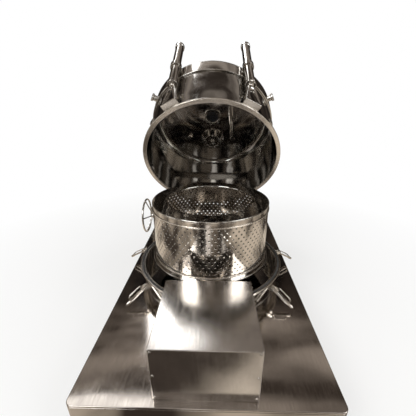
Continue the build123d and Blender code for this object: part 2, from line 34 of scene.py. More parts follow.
import bmesh
import bpy
import numpy as np
from bpy.props import FloatProperty, FloatVectorProperty, IntProperty, PointerProperty
from bpy.types import Operator, Panel, PropertyGroup
from mathutils import Euler, Vector

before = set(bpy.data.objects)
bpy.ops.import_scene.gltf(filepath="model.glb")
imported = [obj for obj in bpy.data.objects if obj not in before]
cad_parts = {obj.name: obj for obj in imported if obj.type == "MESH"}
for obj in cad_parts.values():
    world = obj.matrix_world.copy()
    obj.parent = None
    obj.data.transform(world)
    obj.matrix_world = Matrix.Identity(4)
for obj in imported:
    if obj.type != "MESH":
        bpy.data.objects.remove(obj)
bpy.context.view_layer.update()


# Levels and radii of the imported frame, in metres
DRUM_R, DRUM_WALL = 0.400, 0.008
DRUM_BASE, WALL_BASE, LIP_BASE, DRUM_TOP = 0.480, 0.498, 0.884, 0.898
CASING_R, CASING_OUT, RIM_OUT, RIM_TOP = 0.484, 0.490, 0.517, 0.440
DECK_TOP = 0.300
LID_BASE, LID_RIM_TOP, LID_CEILING, PLATE_BASE, PLATE_TOP = 0.445, 0.459, 0.954, 0.960, 0.968
COLLAR_OUT, COLLAR_BASE = 0.500, 0.840
HINGE = np.array([0.0, 0.722, 0.538])
INPUT_Z = 0.450
OPEN_ANGLE = radians(58)
PIVOT_R, PIVOT_Z, LEVER_DROOP = 0.545, 0.404, radians(30)
LATCHES = {"front_left": 219.5, "front_right": 320.5, "side_left": 168.5, "side_right": 11.5}
CYLINDERS = {"left": 241.0, "right": 299.0}
CYLINDER_R, CYLINDER_PIN_Z = 0.540, 0.630
SIGHT, WASH, NOZZLE, FEED = (0, -0.042), (0, 0.190), (-0.205, 0.165), (0.168, 0.008)
OUTLET_Z = 0.363
ARM_X, ARM_HALF, POST_X, POST_HALF = 0.190, 0.022, 0.310, 0.025
BOSS_STEP = 0.0015  # how far the bosses stand out of the arms' and posts' sides
SHARP_ANGLE = radians(40)
UP = np.array([0.0, 0.0, 1.0])


# Sizes and colours that a user would change

class CentrifugeSizes(PropertyGroup):
    segments: IntProperty(name="Round segments", description="Steps round each large turned piece",
                          default=256, min=32)
    column_pairs: IntProperty(name="Screen column pairs", description="Pairs of hole columns round the drum",
                              default=70, min=8)
    hole_radius: FloatProperty(name="Screen hole radius", description="Radius of each hole in the drum wall",
                               default=0.0055, unit="LENGTH")
    hole_pitch: FloatProperty(name="Screen hole pitch", description="Height between two holes of one column",
                              default=0.045, unit="LENGTH")
    hole_lowest: FloatProperty(name="Lowest hole", description="Height of the lowest holes over the floor",
                               default=0.5285, unit="LENGTH")
    wheel_radius: FloatProperty(name="Handwheel radius", description="Radius of the handwheel's rim",
                                default=0.165, unit="LENGTH")


class CentrifugeLook(PropertyGroup):
    mirror: FloatVectorProperty(name="Mirror steel", description="Colour of the polished steel",
                                subtype="COLOR", size=3, default=(0.66, 0.64, 0.61))
    deck: FloatVectorProperty(name="Deck steel", description="Colour of the deck and cover sheet",
                              subtype="COLOR", size=3, default=(0.56, 0.52, 0.48))
    screen: FloatVectorProperty(name="Screen steel", description="Colour of the drum's screen",
                                subtype="COLOR", size=3, default=(0.66, 0.62, 0.57))
    satin: FloatVectorProperty(name="Satin steel", description="Colour of the brushed castings",
                               subtype="COLOR", size=3, default=(0.46, 0.45, 0.44))
    cover: FloatVectorProperty(name="Cover steel", description="Colour of the motor cover",
                               subtype="COLOR", size=3, default=(0.70, 0.67, 0.64))
    rim: FloatVectorProperty(name="Rim steel", description="Colour of the rims, hoops and latches",
                             subtype="COLOR", size=3, default=(0.84, 0.80, 0.74))
    rubber: FloatVectorProperty(name="Gasket", description="Colour of the gasket and the damper pads",
                                subtype="COLOR", size=3, default=(0.035, 0.034, 0.033))
    floor: FloatVectorProperty(name="Floor", description="Colour of the studio floor",
                               subtype="COLOR", size=3, default=(0.86, 0.86, 0.85))
    lamp: FloatProperty(name="Lamp power", description="Power of the main soft lamp in watts", default=160.0)


# Shapes: each one is (points, [arrays of faces])

def joined(*shapes):
    """Several shapes as one: their points follow each other, and each face is shifted by what came before."""
    points, faces, start = [], [], 0
    for p, f in shapes:
        points.append(p)
        faces += [a + start for a in f]
        start += len(p)
    return np.concatenate(points), faces


def sheet(grid, wrap_rows=False, wrap_columns=False, caps=False):
    """A grid of points (rows, columns, 3) with a quad between each four neighbours.

    Wrapping joins the last row or column to the first. Caps close the first and last row with one flat face.
    """
    rows, columns = grid.shape[:2]
    index = np.arange(rows * columns).reshape(rows, columns)
    full = index
    if wrap_rows:
        full = np.vstack([full, full[:1]])
    if wrap_columns:
        full = np.hstack([full, full[:, :1]])
    quads = np.stack([full[:-1, :-1], full[1:, :-1], full[1:, 1:], full[:-1, 1:]], axis=-1).reshape(-1, 4)
    faces = [quads]
    if caps:
        faces += [index[0][None, ::-1], index[-1][None, :]]
    return grid.reshape(-1, 3), faces


def repeated(shape, offsets):
    """Copies of a shape: each point plus its copy's offset."""
    points, faces = shape
    placed = points[None] + np.asarray(offsets, float)[:, None]
    shift = np.arange(len(offsets)) * len(points)
    return placed.reshape(-1, 3), [(f[None] + shift[:, None, None]).reshape(-1, f.shape[1]) for f in faces]


def ring_spots(count, radius, z, centre=(0, 0), first=0.0):
    """Places evenly round a circle at height z: x = cx + r cos a, y = cy + r sin a, from the angle first."""
    a = np.linspace(0, 2 * pi, count, endpoint=False) + first
    x, y = centre[0] + radius * np.cos(a), centre[1] + radius * np.sin(a)
    return np.stack([x, y, np.full(count, z)], axis=1)


def moved(shape, offset):
    """Each point plus the offset."""
    return shape[0] + np.asarray(offset, float), shape[1]


def turned_about(shape, axis, angle, centre=(0, 0, 0)):
    """Each point turned by the right-hand rule about a line: p cos a + (k x p) sin a + k (k.p)(1 - cos a)."""
    k = np.asarray(axis, float)
    k = k / np.linalg.norm(k)
    p = shape[0] - np.asarray(centre, float)
    spun = p * np.cos(angle) + np.cross(k, p) * np.sin(angle) + np.outer(p @ k, k) * (1 - np.cos(angle))
    return spun + np.asarray(centre, float), shape[1]


def aimed(shape, start, toward):
    """A shape made up the Z axis, laid along the line from start to toward."""
    start, toward = np.asarray(start, float), np.asarray(toward, float)
    along = (toward - start) / np.linalg.norm(toward - start)
    helper = np.array([1.0, 0, 0]) if abs(along[0]) < 0.9 else np.array([0, 1.0, 0])
    side = np.cross(helper, along)
    side /= np.linalg.norm(side)
    frame_axes = np.stack([side, np.cross(along, side), along])
    return shape[0] @ frame_axes + start, shape[1]


def opened(shape):
    """A shape of the shut upper casing, swung open about the hinge line."""
    return turned_about(shape, (1, 0, 0), -OPEN_ANGLE, HINGE)


def rounded(corners, radius, steps=5, inset=0.0, closed=True, support=0.0004):
    """The outline through the corners, with each corner replaced by an arc tangent to its two sides.

    A point just before and after each arc keeps the straight sides flat in the shading. An inset moves each
    corner inwards along its bisector, and its radius shrinks by as much, so all insets stay parallel.
    """
    p = np.asarray(corners, float)
    r = np.broadcast_to(np.asarray(radius, float), (len(p),)).copy()
    back, ahead = np.roll(p, 1, axis=0) - p, np.roll(p, -1, axis=0) - p
    back /= np.linalg.norm(back, axis=1)[:, None]
    ahead /= np.linalg.norm(ahead, axis=1)[:, None]
    half = np.arccos(np.clip((back * ahead).sum(1), -0.99999, 0.99999)) / 2
    bisector = back + ahead
    bisector /= np.linalg.norm(bisector, axis=1)[:, None]
    area = (p[:, 0] * np.roll(p[:, 1], -1) - np.roll(p[:, 0], -1) * p[:, 1]).sum()
    bend = np.sign((ahead[:, 0] * back[:, 1] - ahead[:, 1] * back[:, 0]) * area)
    p = p + bisector * (bend * inset / np.sin(half))[:, None]
    r = np.maximum(r - bend * inset, 1e-5)
    centre = p + bisector * (r / np.sin(half))[:, None]
    first, last = p + back * (r / np.tan(half))[:, None], p + ahead * (r / np.tan(half))[:, None]
    whole = pi - 2 * half
    k = np.linspace(0, 1, steps + 1)
    near, far = np.sin(np.outer(whole, 1 - k)), np.sin(np.outer(whole, k))
    arc = ((first - centre)[:, None] * near[..., None] + (last - centre)[:, None] * far[..., None])
    arc = centre[:, None] + arc / np.sin(whole)[:, None, None]
    line = np.concatenate([(first + back * support)[:, None], arc, (last + ahead * support)[:, None]], axis=1)
    if closed:
        return line.reshape(-1, 2)
    return np.concatenate([p[:1], line[1:-1].reshape(-1, 2), p[-1:]])


def lathe(outline, segments=96, centre=(0, 0), closed=True):
    """Each outline point (r, z) is carried round the upright line at the centre: x = r cos a, y = r sin a."""
    a = np.linspace(0, 2 * pi, segments, endpoint=False)
    r, z = np.asarray(outline, float).T
    grid = np.stack([centre[0] + np.outer(r, np.cos(a)), centre[1] + np.outer(r, np.sin(a)),
                     np.repeat(z[:, None], segments, axis=1)], axis=-1)
    return sheet(grid, wrap_rows=closed, wrap_columns=True)


def round_ring(inner, outer, low, high, edge=0.002, segments=256, centre=(0, 0)):
    """A turned ring whose section is a rectangle with rounded corners."""
    section = rounded([(inner, low), (outer, low), (outer, high), (inner, high)], edge)
    return lathe(section, segments, centre)


def round_bar(radius, length, edge=0.001, segments=32):
    """A turned bar up the Z axis whose end edges are rounded; the ends close on the axis."""
    lip = min(edge, radius * 0.95)
    corners = [(0, 0), (radius, 0), (radius, length), (0, length)]
    line = rounded(corners, [0, lip, lip, 0], closed=False, support=min(0.0004, radius * 0.04))
    return lathe(line, segments, closed=False)


def turned_form(line, radius=0.001, segments=64, centre=(0, 0), support=0.0004):
    """A turned solid from a line of (r, z) corners that starts and ends on the axis, each corner rounded."""
    radii = np.broadcast_to(np.asarray(radius, float), (len(line),))
    return lathe(rounded(line, radii, closed=False, support=support), segments, centre, closed=False)


def rod(start, end, radius, edge=0.001, segments=24):
    """A round bar between two points, with rounded end edges."""
    length = np.linalg.norm(np.asarray(end, float) - np.asarray(start, float))
    return aimed(round_bar(radius, length, edge, segments), start, end)


def tube(path, radius, normal, sides=16, closed=False):
    """A circle carried along a flat path, square to it: p + r (cos a (t x n) + sin a n).

    Here t is the path's direction and n is square to the plane that the path lies in.
    """
    path = np.asarray(path, float)
    if closed:
        t = np.roll(path, -1, axis=0) - np.roll(path, 1, axis=0)
    else:
        t = np.gradient(path, axis=0)
    t /= np.linalg.norm(t, axis=1)[:, None]
    n = np.asarray(normal, float) / np.linalg.norm(normal)
    side = np.cross(t, n)
    side /= np.linalg.norm(side, axis=1)[:, None]
    up = np.cross(side, t)
    a = np.linspace(0, 2 * pi, sides, endpoint=False)
    r = np.broadcast_to(np.asarray(radius, float), (len(path),))[:, None, None]
    c, s = np.cos(a)[None, :, None], np.sin(a)[None, :, None]
    grid = path[:, None] + r * (c * side[:, None] + s * up[:, None])
    return sheet(grid, wrap_rows=closed, wrap_columns=True, caps=not closed)


def cut_plate(corners, radius, low, high, edge=0.0015, axes=(0, 1, 2), steps=5):
    """A plate cut to a rounded outline, with its two rims rounded.

    The outline's inset runs through a quarter circle at each rim: inset = e (1 - sin t) and
    height = e (1 - cos t). axes says which of x, y, z the outline's two directions and the thickness are.
    """
    t = np.linspace(0, pi / 2, 4)
    inset, drop = edge * (1 - np.sin(t)), edge * (1 - np.cos(t))
    flat = 0.0005
    insets = np.concatenate([[edge + flat], inset, [0, 0], inset[::-1], [edge + flat]])
    straight = [low + edge + flat, high - edge - flat]
    heights = np.concatenate([[low], low + drop, straight, (high - drop)[::-1], [high]])
    levels = [rounded(corners, np.maximum(radius, edge + 2 * flat), steps, i) for i in insets]
    grid = np.empty((len(levels), len(levels[0]), 3))
    grid[..., axes[0]] = np.stack(levels)[..., 0]
    grid[..., axes[1]] = np.stack(levels)[..., 1]
    grid[..., axes[2]] = heights[:, None]
    return sheet(grid, wrap_columns=True, caps=True)


def box_corners(low, high):
    """The four corners of an upright rectangle."""
    return [(low[0], low[1]), (high[0], low[1]), (high[0], high[1]), (low[0], high[1])]


def slab(low, high, corner=0.004, edge=0.0015):
    """A block between two opposite corners, with rounded upright edges and rounded rims."""
    return cut_plate(box_corners(low, high), corner, low[2], high[2], edge)


def hex_bolt(radius=0.008, height=0.006):
    """A six-sided bolt head with a crowned top, on a turned washer."""
    head = [(0, 0.0008), (radius, 0.0008), (radius, height * 0.8), (radius * 0.86, height), (0, height)]
    washer = [(0, -0.001), (radius * 1.3, -0.001), (radius * 1.3, 0.0012), (0, 0.0012)]
    return joined(lathe(head, 6, closed=False), lathe(washer, 20, closed=False))


def dome_nut(radius=0.009, height=0.015):
    """A six-sided nut under a dome: the dome's section is a quarter circle."""
    t = np.linspace(0, pi / 2, 6)
    dome = np.stack([radius * 0.8 * np.cos(t), height * 0.45 + (height * 0.55) * np.sin(t)], axis=1)
    nut = lathe([(0, 0), (radius, 0), (radius, height * 0.45), (0, height * 0.45)], 6, closed=False)
    return joined(nut, lathe(np.concatenate([[[0, height * 0.3], [radius * 0.8, height * 0.3]], dome]), 16,
                             closed=False))


def weld_bead(radius, level, size=0.003):
    """A fillet bead round the upright axis whose size waves as 1 + 0.12 sin(n a)."""
    ripples, segments = 240, 960
    a = np.linspace(0, 2 * pi, segments, endpoint=False)
    t = np.linspace(0, 2 * pi, 8, endpoint=False)
    grow = size * (1 + 0.12 * np.sin(ripples * a))[None, :]
    r = radius + np.cos(t)[:, None] * grow
    z = level + np.sin(t)[:, None] * grow
    return sheet(np.stack([r * np.cos(a), r * np.sin(a), z], axis=-1), wrap_rows=True, wrap_columns=True)


# From shapes to pieces

def add_piece(name, shape, body, finish, nodes=()):
    """Makes one finished piece: mesh in place, doubles merged, faces outwards, smooth but for sharp edges."""
    points, faces = shape
    mesh = bpy.data.meshes.new(name)
    mesh.from_pydata(points.tolist(), [], [row for f in faces for row in f.tolist()])
    work = bmesh.new()
    work.from_mesh(mesh)
    bmesh.ops.remove_doubles(work, verts=work.verts, dist=5e-6)
    bmesh.ops.dissolve_degenerate(work, edges=work.edges, dist=1e-7)
    bmesh.ops.recalc_face_normals(work, faces=work.faces)
    work.to_mesh(mesh)
    work.free()
    mesh.polygons.foreach_set("use_smooth", np.ones(len(mesh.polygons), bool))
    mesh.set_sharp_from_angle(angle=SHARP_ANGLE)
    mesh.materials.append(bpy.data.materials["finish_" + finish])
    piece = bpy.data.objects.new(name, mesh)
    bpy.context.scene.collection.objects.link(piece)
    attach(piece, body)
    if nodes:
        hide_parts(*nodes)


# Finishes

def finish(name):
    """A new material's nodes and shader, and the point on the piece that patterns are read from."""
    material = bpy.data.materials.new("finish_" + name)
    material.use_nodes = True
    tree = material.node_tree
    shader = tree.nodes["Principled BSDF"]
    place = tree.nodes.new("ShaderNodeTexCoord").outputs["Object"]
    return tree, shader, place


def pattern(tree, place, scale, detail=3.0, roughness=0.5, stretch=(1, 1, 1)):
    """Noise over the piece, stretched along its axes."""
    lay = tree.nodes.new("ShaderNodeMapping")
    lay.inputs["Scale"].default_value = stretch
    tree.links.new(place, lay.inputs["Vector"])
    noise = tree.nodes.new("ShaderNodeTexNoise")
    noise.inputs["Scale"].default_value = scale
    noise.inputs["Detail"].default_value = detail
    noise.inputs["Roughness"].default_value = roughness
    tree.links.new(lay.outputs["Vector"], noise.inputs["Vector"])
    return noise.outputs["Fac"]


def between(tree, value, low, high, start=0.3, end=0.7):
    """The pattern's middle range spread from low to high."""
    spread = tree.nodes.new("ShaderNodeMapRange")
    for key, number in (("From Min", start), ("From Max", end), ("To Min", low), ("To Max", high)):
        spread.inputs[key].default_value = number
    tree.links.new(value, spread.inputs["Value"])
    return spread.outputs["Result"]


def combined(tree, operation, *values):
    """A Math node's result on patterns, numbers or both."""
    node = tree.nodes.new("ShaderNodeMath")
    node.operation = operation
    for place, value in zip(node.inputs, values):
        if isinstance(value, float):
            place.default_value = value
        else:
            tree.links.new(value, place)
    return node.outputs[0]


def mixed(tree, share, first, second, out):
    """The first shader where the share is zero, and the second where it is one, on the surface."""
    mix = tree.nodes.new("ShaderNodeMixShader")
    tree.links.new(share, mix.inputs["Fac"])
    tree.links.new(first.outputs[0], mix.inputs[1])
    tree.links.new(second.outputs[0], mix.inputs[2])
    tree.links.new(mix.outputs[0], out.inputs["Surface"])


def tinted(tree, value, first, second, start=0.3, end=0.7):
    """A colour between two, by the pattern."""
    ramp = tree.nodes.new("ShaderNodeValToRGB")
    ramp.color_ramp.elements[0].position, ramp.color_ramp.elements[1].position = start, end
    ramp.color_ramp.elements[0].color, ramp.color_ramp.elements[1].color = (*first, 1), (*second, 1)
    tree.links.new(value, ramp.inputs["Fac"])
    return ramp.outputs["Color"]


def raised(tree, shader, layers):
    """Bumps on the shader, one after the other, from (height, strength, distance)."""
    last = None
    for height, strength, distance in layers:
        bump = tree.nodes.new("ShaderNodeBump")
        bump.inputs["Strength"].default_value = strength
        bump.inputs["Distance"].default_value = distance
        tree.links.new(height, bump.inputs["Height"])
        if last:
            tree.links.new(last, bump.inputs["Normal"])
        last = bump.outputs["Normal"]
    tree.links.new(last, shader.inputs["Normal"])


def steel_finish(name, colour, smooth, dull, wave, wave_scale, grain, grain_scale, grain_depth, darker=0.86):
    """Polished or brushed steel: hazy patches in colour and gloss, a sheet's slow waves and fine drawn lines.

    The roughness runs from smooth to dull. The waves have a depth and a scale, and the lines a stretch, a
    scale and a depth. The haze takes the colour down to its darker share.
    """
    tree, shader, place = finish(name)
    shader.inputs["Metallic"].default_value = 1.0
    haze = pattern(tree, place, 7.0, 4.0, 0.6)
    lines = pattern(tree, place, grain_scale, 3.0, 0.6, grain)
    first = tuple(c * darker for c in colour)
    tree.links.new(tinted(tree, haze, first, tuple(colour)), shader.inputs["Base Color"])
    both = combined(tree, "MULTIPLY_ADD", lines, 0.5, combined(tree, "MULTIPLY", haze, 0.5))
    tree.links.new(between(tree, both, smooth, dull, 0.35, 0.65), shader.inputs["Roughness"])
    slow = pattern(tree, place, wave_scale, 1.0, 0.4)
    raised(tree, shader, [(slow, 1.0, wave), (lines, 1.0, grain_depth)])


def rubber_finish(name, colour):
    """Matt rubber with a fine pebble and paler dusty patches."""
    tree, shader, place = finish(name)
    dust = pattern(tree, place, 30.0, 5.0, 0.6)
    tree.links.new(tinted(tree, dust, tuple(colour), tuple(min(c * 2.2, 1) for c in colour), 0.45, 0.8),
                   shader.inputs["Base Color"])
    tree.links.new(between(tree, dust, 0.55, 0.8), shader.inputs["Roughness"])
    raised(tree, shader, [(pattern(tree, place, 900.0, 2.0, 0.5), 0.4, 0.0002)])


def glass_finish(name):
    """Dark smoked glass with faint water marks."""
    tree, shader, place = finish(name)
    shader.inputs["Base Color"].default_value = (0.012, 0.013, 0.015, 1)
    shader.inputs["IOR"].default_value = 1.52
    shader.inputs["Coat Weight"].default_value = 0.6
    shader.inputs["Coat Roughness"].default_value = 0.03
    marks = pattern(tree, place, 45.0, 5.0, 0.7)
    tree.links.new(between(tree, marks, 0.03, 0.12, 0.4, 0.75), shader.inputs["Roughness"])
    raised(tree, shader, [(marks, 0.15, 0.0002)])


class CENTRIFUGE_OT_finishes(Operator):
    """Makes the steels, the rubber and the glass."""

    bl_idname = "centrifuge.finishes"
    bl_label = "Finishes"

    def execute(self, context):
        look = context.scene.centrifuge_look
        # Painted shade: the upper casing's wall and top plate are the same polished steel as the rest, taken
        # down to 0.62 of its colour to stand in for the shade and dark reflections inside the lid.
        lid = tuple(0.62 * c for c in look.mirror)
        steel_finish("mirror_steel", look.mirror, 0.04, 0.11, 0.0022, 5.0, (1, 1, 8), 40.0, 0.000004)
        steel_finish("lid_steel_painted_shade", lid, 0.04, 0.12, 0.0034, 5.0, (3, 1, 1), 30.0, 0.000006, 0.8)
        steel_finish("deck_steel", look.deck, 0.05, 0.13, 0.0034, 3.2, (14, 1, 1), 12.0, 0.000006, 0.82)
        steel_finish("screen_steel", look.screen, 0.07, 0.15, 0.0014, 9.0, (1, 1, 0.12), 40.0, 0.00001)
        steel_finish("rim_steel", look.rim, 0.18, 0.26, 0.0004, 5.0, (1, 1, 1), 30.0, 0.000002)
        steel_finish("satin_steel", look.satin, 0.24, 0.36, 0.0008, 8.0, (1, 1, 12), 30.0, 0.00003)
        steel_finish("damper_shell", look.satin, 0.22, 0.36, 0.0008, 8.0, (1, 1, 14), 30.0, 0.00003)
        steel_finish("cover_steel", look.cover, 0.13, 0.24, 0.0030, 3.5, (10, 1, 1), 12.0, 0.000006, 0.8)
        rubber_finish("gasket_rubber", look.rubber)
        glass_finish("sight_pane")
        return {"FINISHED"}


# The drum

def hole_border(half_u, half_z, upright, level):
    """Points round a rectangle, from the middle of its right side.

    Each half of an upright side is split upright times, and each half of a level side level times.
    """
    knots = np.cumsum([0, upright, 2 * level, 2 * upright, 2 * level, upright])
    k = np.arange(knots[-1])
    u = np.interp(k, knots, [half_u, half_u, -half_u, -half_u, half_u, half_u])
    z = np.interp(k, knots, [0, half_z, half_z, -half_z, -half_z, 0])
    return np.stack([u, z], axis=1)


def holed_cell(half_u, half_z, upright, level, hole, bevel, outside, inside):
    """One cell of a pierced wall as (u, z, r): border, bevelled hole edge, hole wall, and the border inside.

    Ring k of the hole is a circle of equal angle steps, so each border point has its own point on the hole.
    """
    border = hole_border(half_u, half_z, upright, level)
    a = np.arange(len(border)) * 2 * pi / len(border)
    circle = np.stack([np.cos(a), np.sin(a)], axis=1)
    flat = np.stack([border, circle * (hole + bevel), circle * hole, circle * hole, border])
    depth = np.array([outside, outside, outside - bevel, inside, inside])
    return np.concatenate([flat, np.broadcast_to(depth[:, None, None], flat.shape[:2] + (1,))], axis=-1)


def wrapped(cells, width_radius, angles):
    """Cells of (u, z, r) bent round the axis at each angle: x = r cos(a + u/R), y = r sin(a + u/R)."""
    turn = np.asarray(angles).reshape((-1,) + (1,) * (cells.ndim - 1)) + cells[None, ..., 0] / width_radius
    r, z = np.broadcast_to(cells[None, ..., 2], turn.shape), np.broadcast_to(cells[None, ..., 1], turn.shape)
    return np.stack([r * np.cos(turn), r * np.sin(turn), z], axis=-1)


def many_sheets(grids, wrap_columns=False):
    """The same grid many times: the first grid's faces, repeated for all."""
    rows, columns = grids.shape[-3:-1]
    grids = grids.reshape(-1, rows, columns, 3)
    _, faces = sheet(grids[0], wrap_columns=wrap_columns)
    shift = np.arange(len(grids)) * rows * columns
    return grids.reshape(-1, 3), [(f[None] + shift[:, None, None]).reshape(-1, f.shape[1]) for f in faces]


def end_strip(half_u, levels, outside, inside):
    """A plain band of the wall that runs down the outside, round its end and up the inside, as (u, z, r)."""
    levels = np.asarray(levels, float)
    z = np.concatenate([levels, levels[::-1]])
    r = np.concatenate([np.full(len(levels), outside), np.full(len(levels), inside)])
    u = np.array([-half_u, 0, half_u])
    across = np.broadcast_to(u, (len(z), 3))
    return np.stack([across, np.repeat(z[:, None], 3, 1), np.repeat(r[:, None], 3, 1)], -1)


def screen_wall(sizes):
    """The drum's wall: columns of holed cells with plain bands at both ends.

    Every other column starts half a pitch higher.
    """
    pairs, pitch = sizes.column_pairs, sizes.hole_pitch
    outside, inside = DRUM_R, DRUM_R - DRUM_WALL
    half_u = pi * outside / (2 * pairs)
    quarter = pitch / 4
    cell = holed_cell(half_u, pitch / 2, 2, 1, sizes.hole_radius, 0.0006, outside, inside)
    angles = np.arange(pairs) * 2 * pi / pairs
    shapes = []
    for rows, lowest, shift in ((8, sizes.hole_lowest, 0.0), (7, sizes.hole_lowest + pitch / 2, pi / pairs)):
        lift = np.zeros((rows, 1, 1, 3))
        lift[:, 0, 0, 1] = lowest + np.arange(rows) * pitch
        shapes.append(many_sheets(wrapped(cell[None] + lift, outside, angles + shift), wrap_columns=True))
        bottom, top = lowest - pitch / 2, lowest + (rows - 0.5) * pitch
        count = int(round((bottom - (sizes.hole_lowest - pitch / 2)) / quarter))
        below = np.concatenate([bottom - np.arange(count + 1) * quarter, [WALL_BASE]])
        above = np.concatenate([top + np.arange(count + 1) * quarter, [LIP_BASE]])
        for levels in (below, above):
            strip = end_strip(half_u, levels, outside, inside)
            shapes.append(many_sheets(wrapped(strip, outside, angles + shift)))
    return joined(*shapes)


class CENTRIFUGE_OT_drum(Operator):
    """Makes the screen drum: its pierced wall, hoops, lip, floor, hub and spindle."""

    bl_idname = "centrifuge.drum"
    bl_label = "Screen Drum"

    def execute(self, context):
        sizes = context.scene.centrifuge_sizes
        n = sizes.segments
        add_piece("screen_wall", screen_wall(sizes), "drum", "screen_steel", ["drum_wall"])
        hoops = [round_ring(DRUM_R, 0.405, low, low + 0.009, 0.0022, n) for low in (0.851, 0.512)]
        add_piece("screen_hoops", joined(*hoops), "drum", "rim_steel", ["drum_hoops"])
        lip = lathe(rounded([(0.298, LIP_BASE), (0.402, LIP_BASE), (0.402, DRUM_TOP), (0.298, DRUM_TOP)],
                            [0.005, 0.003, 0.004, 0.006]), n)
        bead = weld_bead(0.3915, LIP_BASE - 0.001, 0.0025)
        add_piece("screen_lip", joined(lip, bead), "drum", "mirror_steel", ["drum_lip"])
        base = turned_form([(0, DRUM_BASE), (0.418, DRUM_BASE), (0.418, WALL_BASE), (0, WALL_BASE)],
                           [0, 0.004, 0.004, 0], n)
        bead = weld_bead(0.3905, WALL_BASE + 0.0005, 0.003)
        add_piece("screen_floor", joined(base, bead), "drum", "mirror_steel", ["drum_floor"])
        section = [(0, WALL_BASE), (0.150, WALL_BASE), (0.150, 0.508), (0.128, 0.510), (0.070, 0.562),
                   (0.064, 0.568), (0, 0.568)]
        cone = turned_form(section, [0, 0.001, 0.003, 0.014, 0.010, 0.002, 0], 128)
        heads = repeated(hex_bolt(0.0065, 0.005), ring_spots(6, 0.139, 0.508))
        add_piece("hub_cone", joined(cone, heads), "drum", "mirror_steel", ["drum_hub"])
        section = [(0, 0.568), (0.036, 0.568), (0.038, 0.571), (0.038, 0.592), (0.034, 0.5955), (0, 0.5955)]
        nut = lathe(section, 6, closed=False)
        dome = turned_form([(0, 0.594), (0.024, 0.594), (0.024, 0.602), (0, 0.602)], [0, 0, 0.006, 0], 40)
        add_piece("hub_cap_nut", joined(nut, dome), "drum", "mirror_steel", ["hub_nut"])
        spindle = moved(round_bar(0.040, 0.148, 0.002, 64), (0, 0, 0.332))
        add_piece("drum_spindle", spindle, "drum", "satin_steel", ["spindle"])
        return {"FINISHED"}


# The lower casing, the deck and the cover

def casing_wall(n=256):
    """The low casing's wall, a turned band with one holed cell at the back where the outlet leaves it."""
    low, high = 0.308, 0.426
    middle, half_z, steps = OUTLET_Z, 0.0545, 3
    outer = CASING_OUT
    half_u = 0.060
    cell = holed_cell(half_u, half_z, steps, steps, 0.036, 0.001, outer, CASING_R)
    cell[..., 1] += middle
    levels = np.unique(np.concatenate([[low, high], cell[0, :, 1]]).round(6))
    window = wrapped(cell, outer, [pi / 2])[0]
    reach = half_u / outer
    a = np.linspace(pi / 2 + reach, 2.5 * pi - reach, n)
    z = np.concatenate([levels, levels[::-1]])
    r = np.concatenate([np.full(len(levels), outer), np.full(len(levels), CASING_R)])
    grid = np.stack([np.outer(r, np.cos(a)), np.outer(r, np.sin(a)), np.repeat(z[:, None], n, 1)], axis=-1)
    shapes = [sheet(window, wrap_columns=True), sheet(grid, wrap_rows=True)]
    u = np.unique(cell[0, :, 0].round(9))
    inside = levels[(levels > middle - half_z - 1e-6) & (levels < middle + half_z + 1e-6)]
    for ends in (levels[levels <= inside[0] + 1e-6][::-1], levels[levels >= inside[-1] - 1e-6]):
        if len(ends) > 1:
            zz = np.concatenate([ends, ends[::-1]])
            rr = np.concatenate([np.full(len(ends), outer), np.full(len(ends), CASING_R)])
            strip = np.stack([np.broadcast_to(u, (len(zz), len(u))), np.repeat(zz[:, None], len(u), 1),
                              np.repeat(rr[:, None], len(u), 1)], axis=-1)
            shapes.append(sheet(wrapped(strip, outer, [pi / 2])[0]))
    return joined(*shapes)


class CENTRIFUGE_OT_casing(Operator):
    """Makes the lower casing: wall, floor, rim, gasket, outlet and the bearing housing in it."""

    bl_idname = "centrifuge.casing"
    bl_label = "Lower Casing"

    def execute(self, context):
        n = context.scene.centrifuge_sizes.segments
        wall = joined(casing_wall(n), weld_bead(CASING_OUT, DECK_TOP + 0.001, 0.003))
        add_piece("casing_band", wall, "root", "mirror_steel", ["casing_wall"])
        section = [(0, DECK_TOP), (CASING_OUT, DECK_TOP), (CASING_OUT, 0.308), (0, 0.308)]
        floor = turned_form(section, 0.0005, n)
        add_piece("casing_base", floor, "root", "mirror_steel", ["casing_floor"])
        rim = joined(round_ring(CASING_R, RIM_OUT, 0.426, RIM_TOP, 0.0032, n),
                     weld_bead(CASING_OUT, 0.4265, 0.0025))
        add_piece("casing_flange", rim, "root", "rim_steel", ["casing_rim"])
        seal = round_ring(0.494, 0.506, RIM_TOP, 0.444, 0.0019, n)
        add_piece("casing_gasket", seal, "root", "gasket_rubber", ["rim_gasket"])
        section = [(0.036, 0), (0.039, 0), (0.039, 0.112), (0.062, 0.112), (0.062, 0.124), (0.036, 0.124)]
        outlet = lathe(rounded(section, [0.0005, 0.0005, 0.002, 0.002, 0.002, 0.001]), 64)
        heads = repeated(turned_about(hex_bolt(0.0065, 0.005), (1, 0, 0), pi),
                         ring_spots(4, 0.0505, 0.1115, first=pi / 4))
        pipe = aimed(joined(outlet, heads), (0, 0.486, OUTLET_Z), (0, 1, OUTLET_Z))
        add_piece("outlet_pipe", pipe, "root", "mirror_steel", ["filtrate_outlet"])
        section = [(0, 0.308), (0.190, 0.308), (0.190, 0.326), (0.120, 0.326), (0.120, 0.356), (0.076, 0.444),
                   (0.076, 0.468), (0.04005, 0.468), (0.04005, 0.326), (0, 0.326)]
        housing = turned_form(section, [0, 0.001, 0.003, 0.006, 0.004, 0.010, 0.003, 0.001, 0.0005, 0], 128)
        heads = repeated(hex_bolt(0.011, 0.009), ring_spots(8, 0.155, 0.326))
        add_piece("spindle_housing", joined(housing, heads), "root", "satin_steel", ["bearing_housing"])
        return {"FINISHED"}


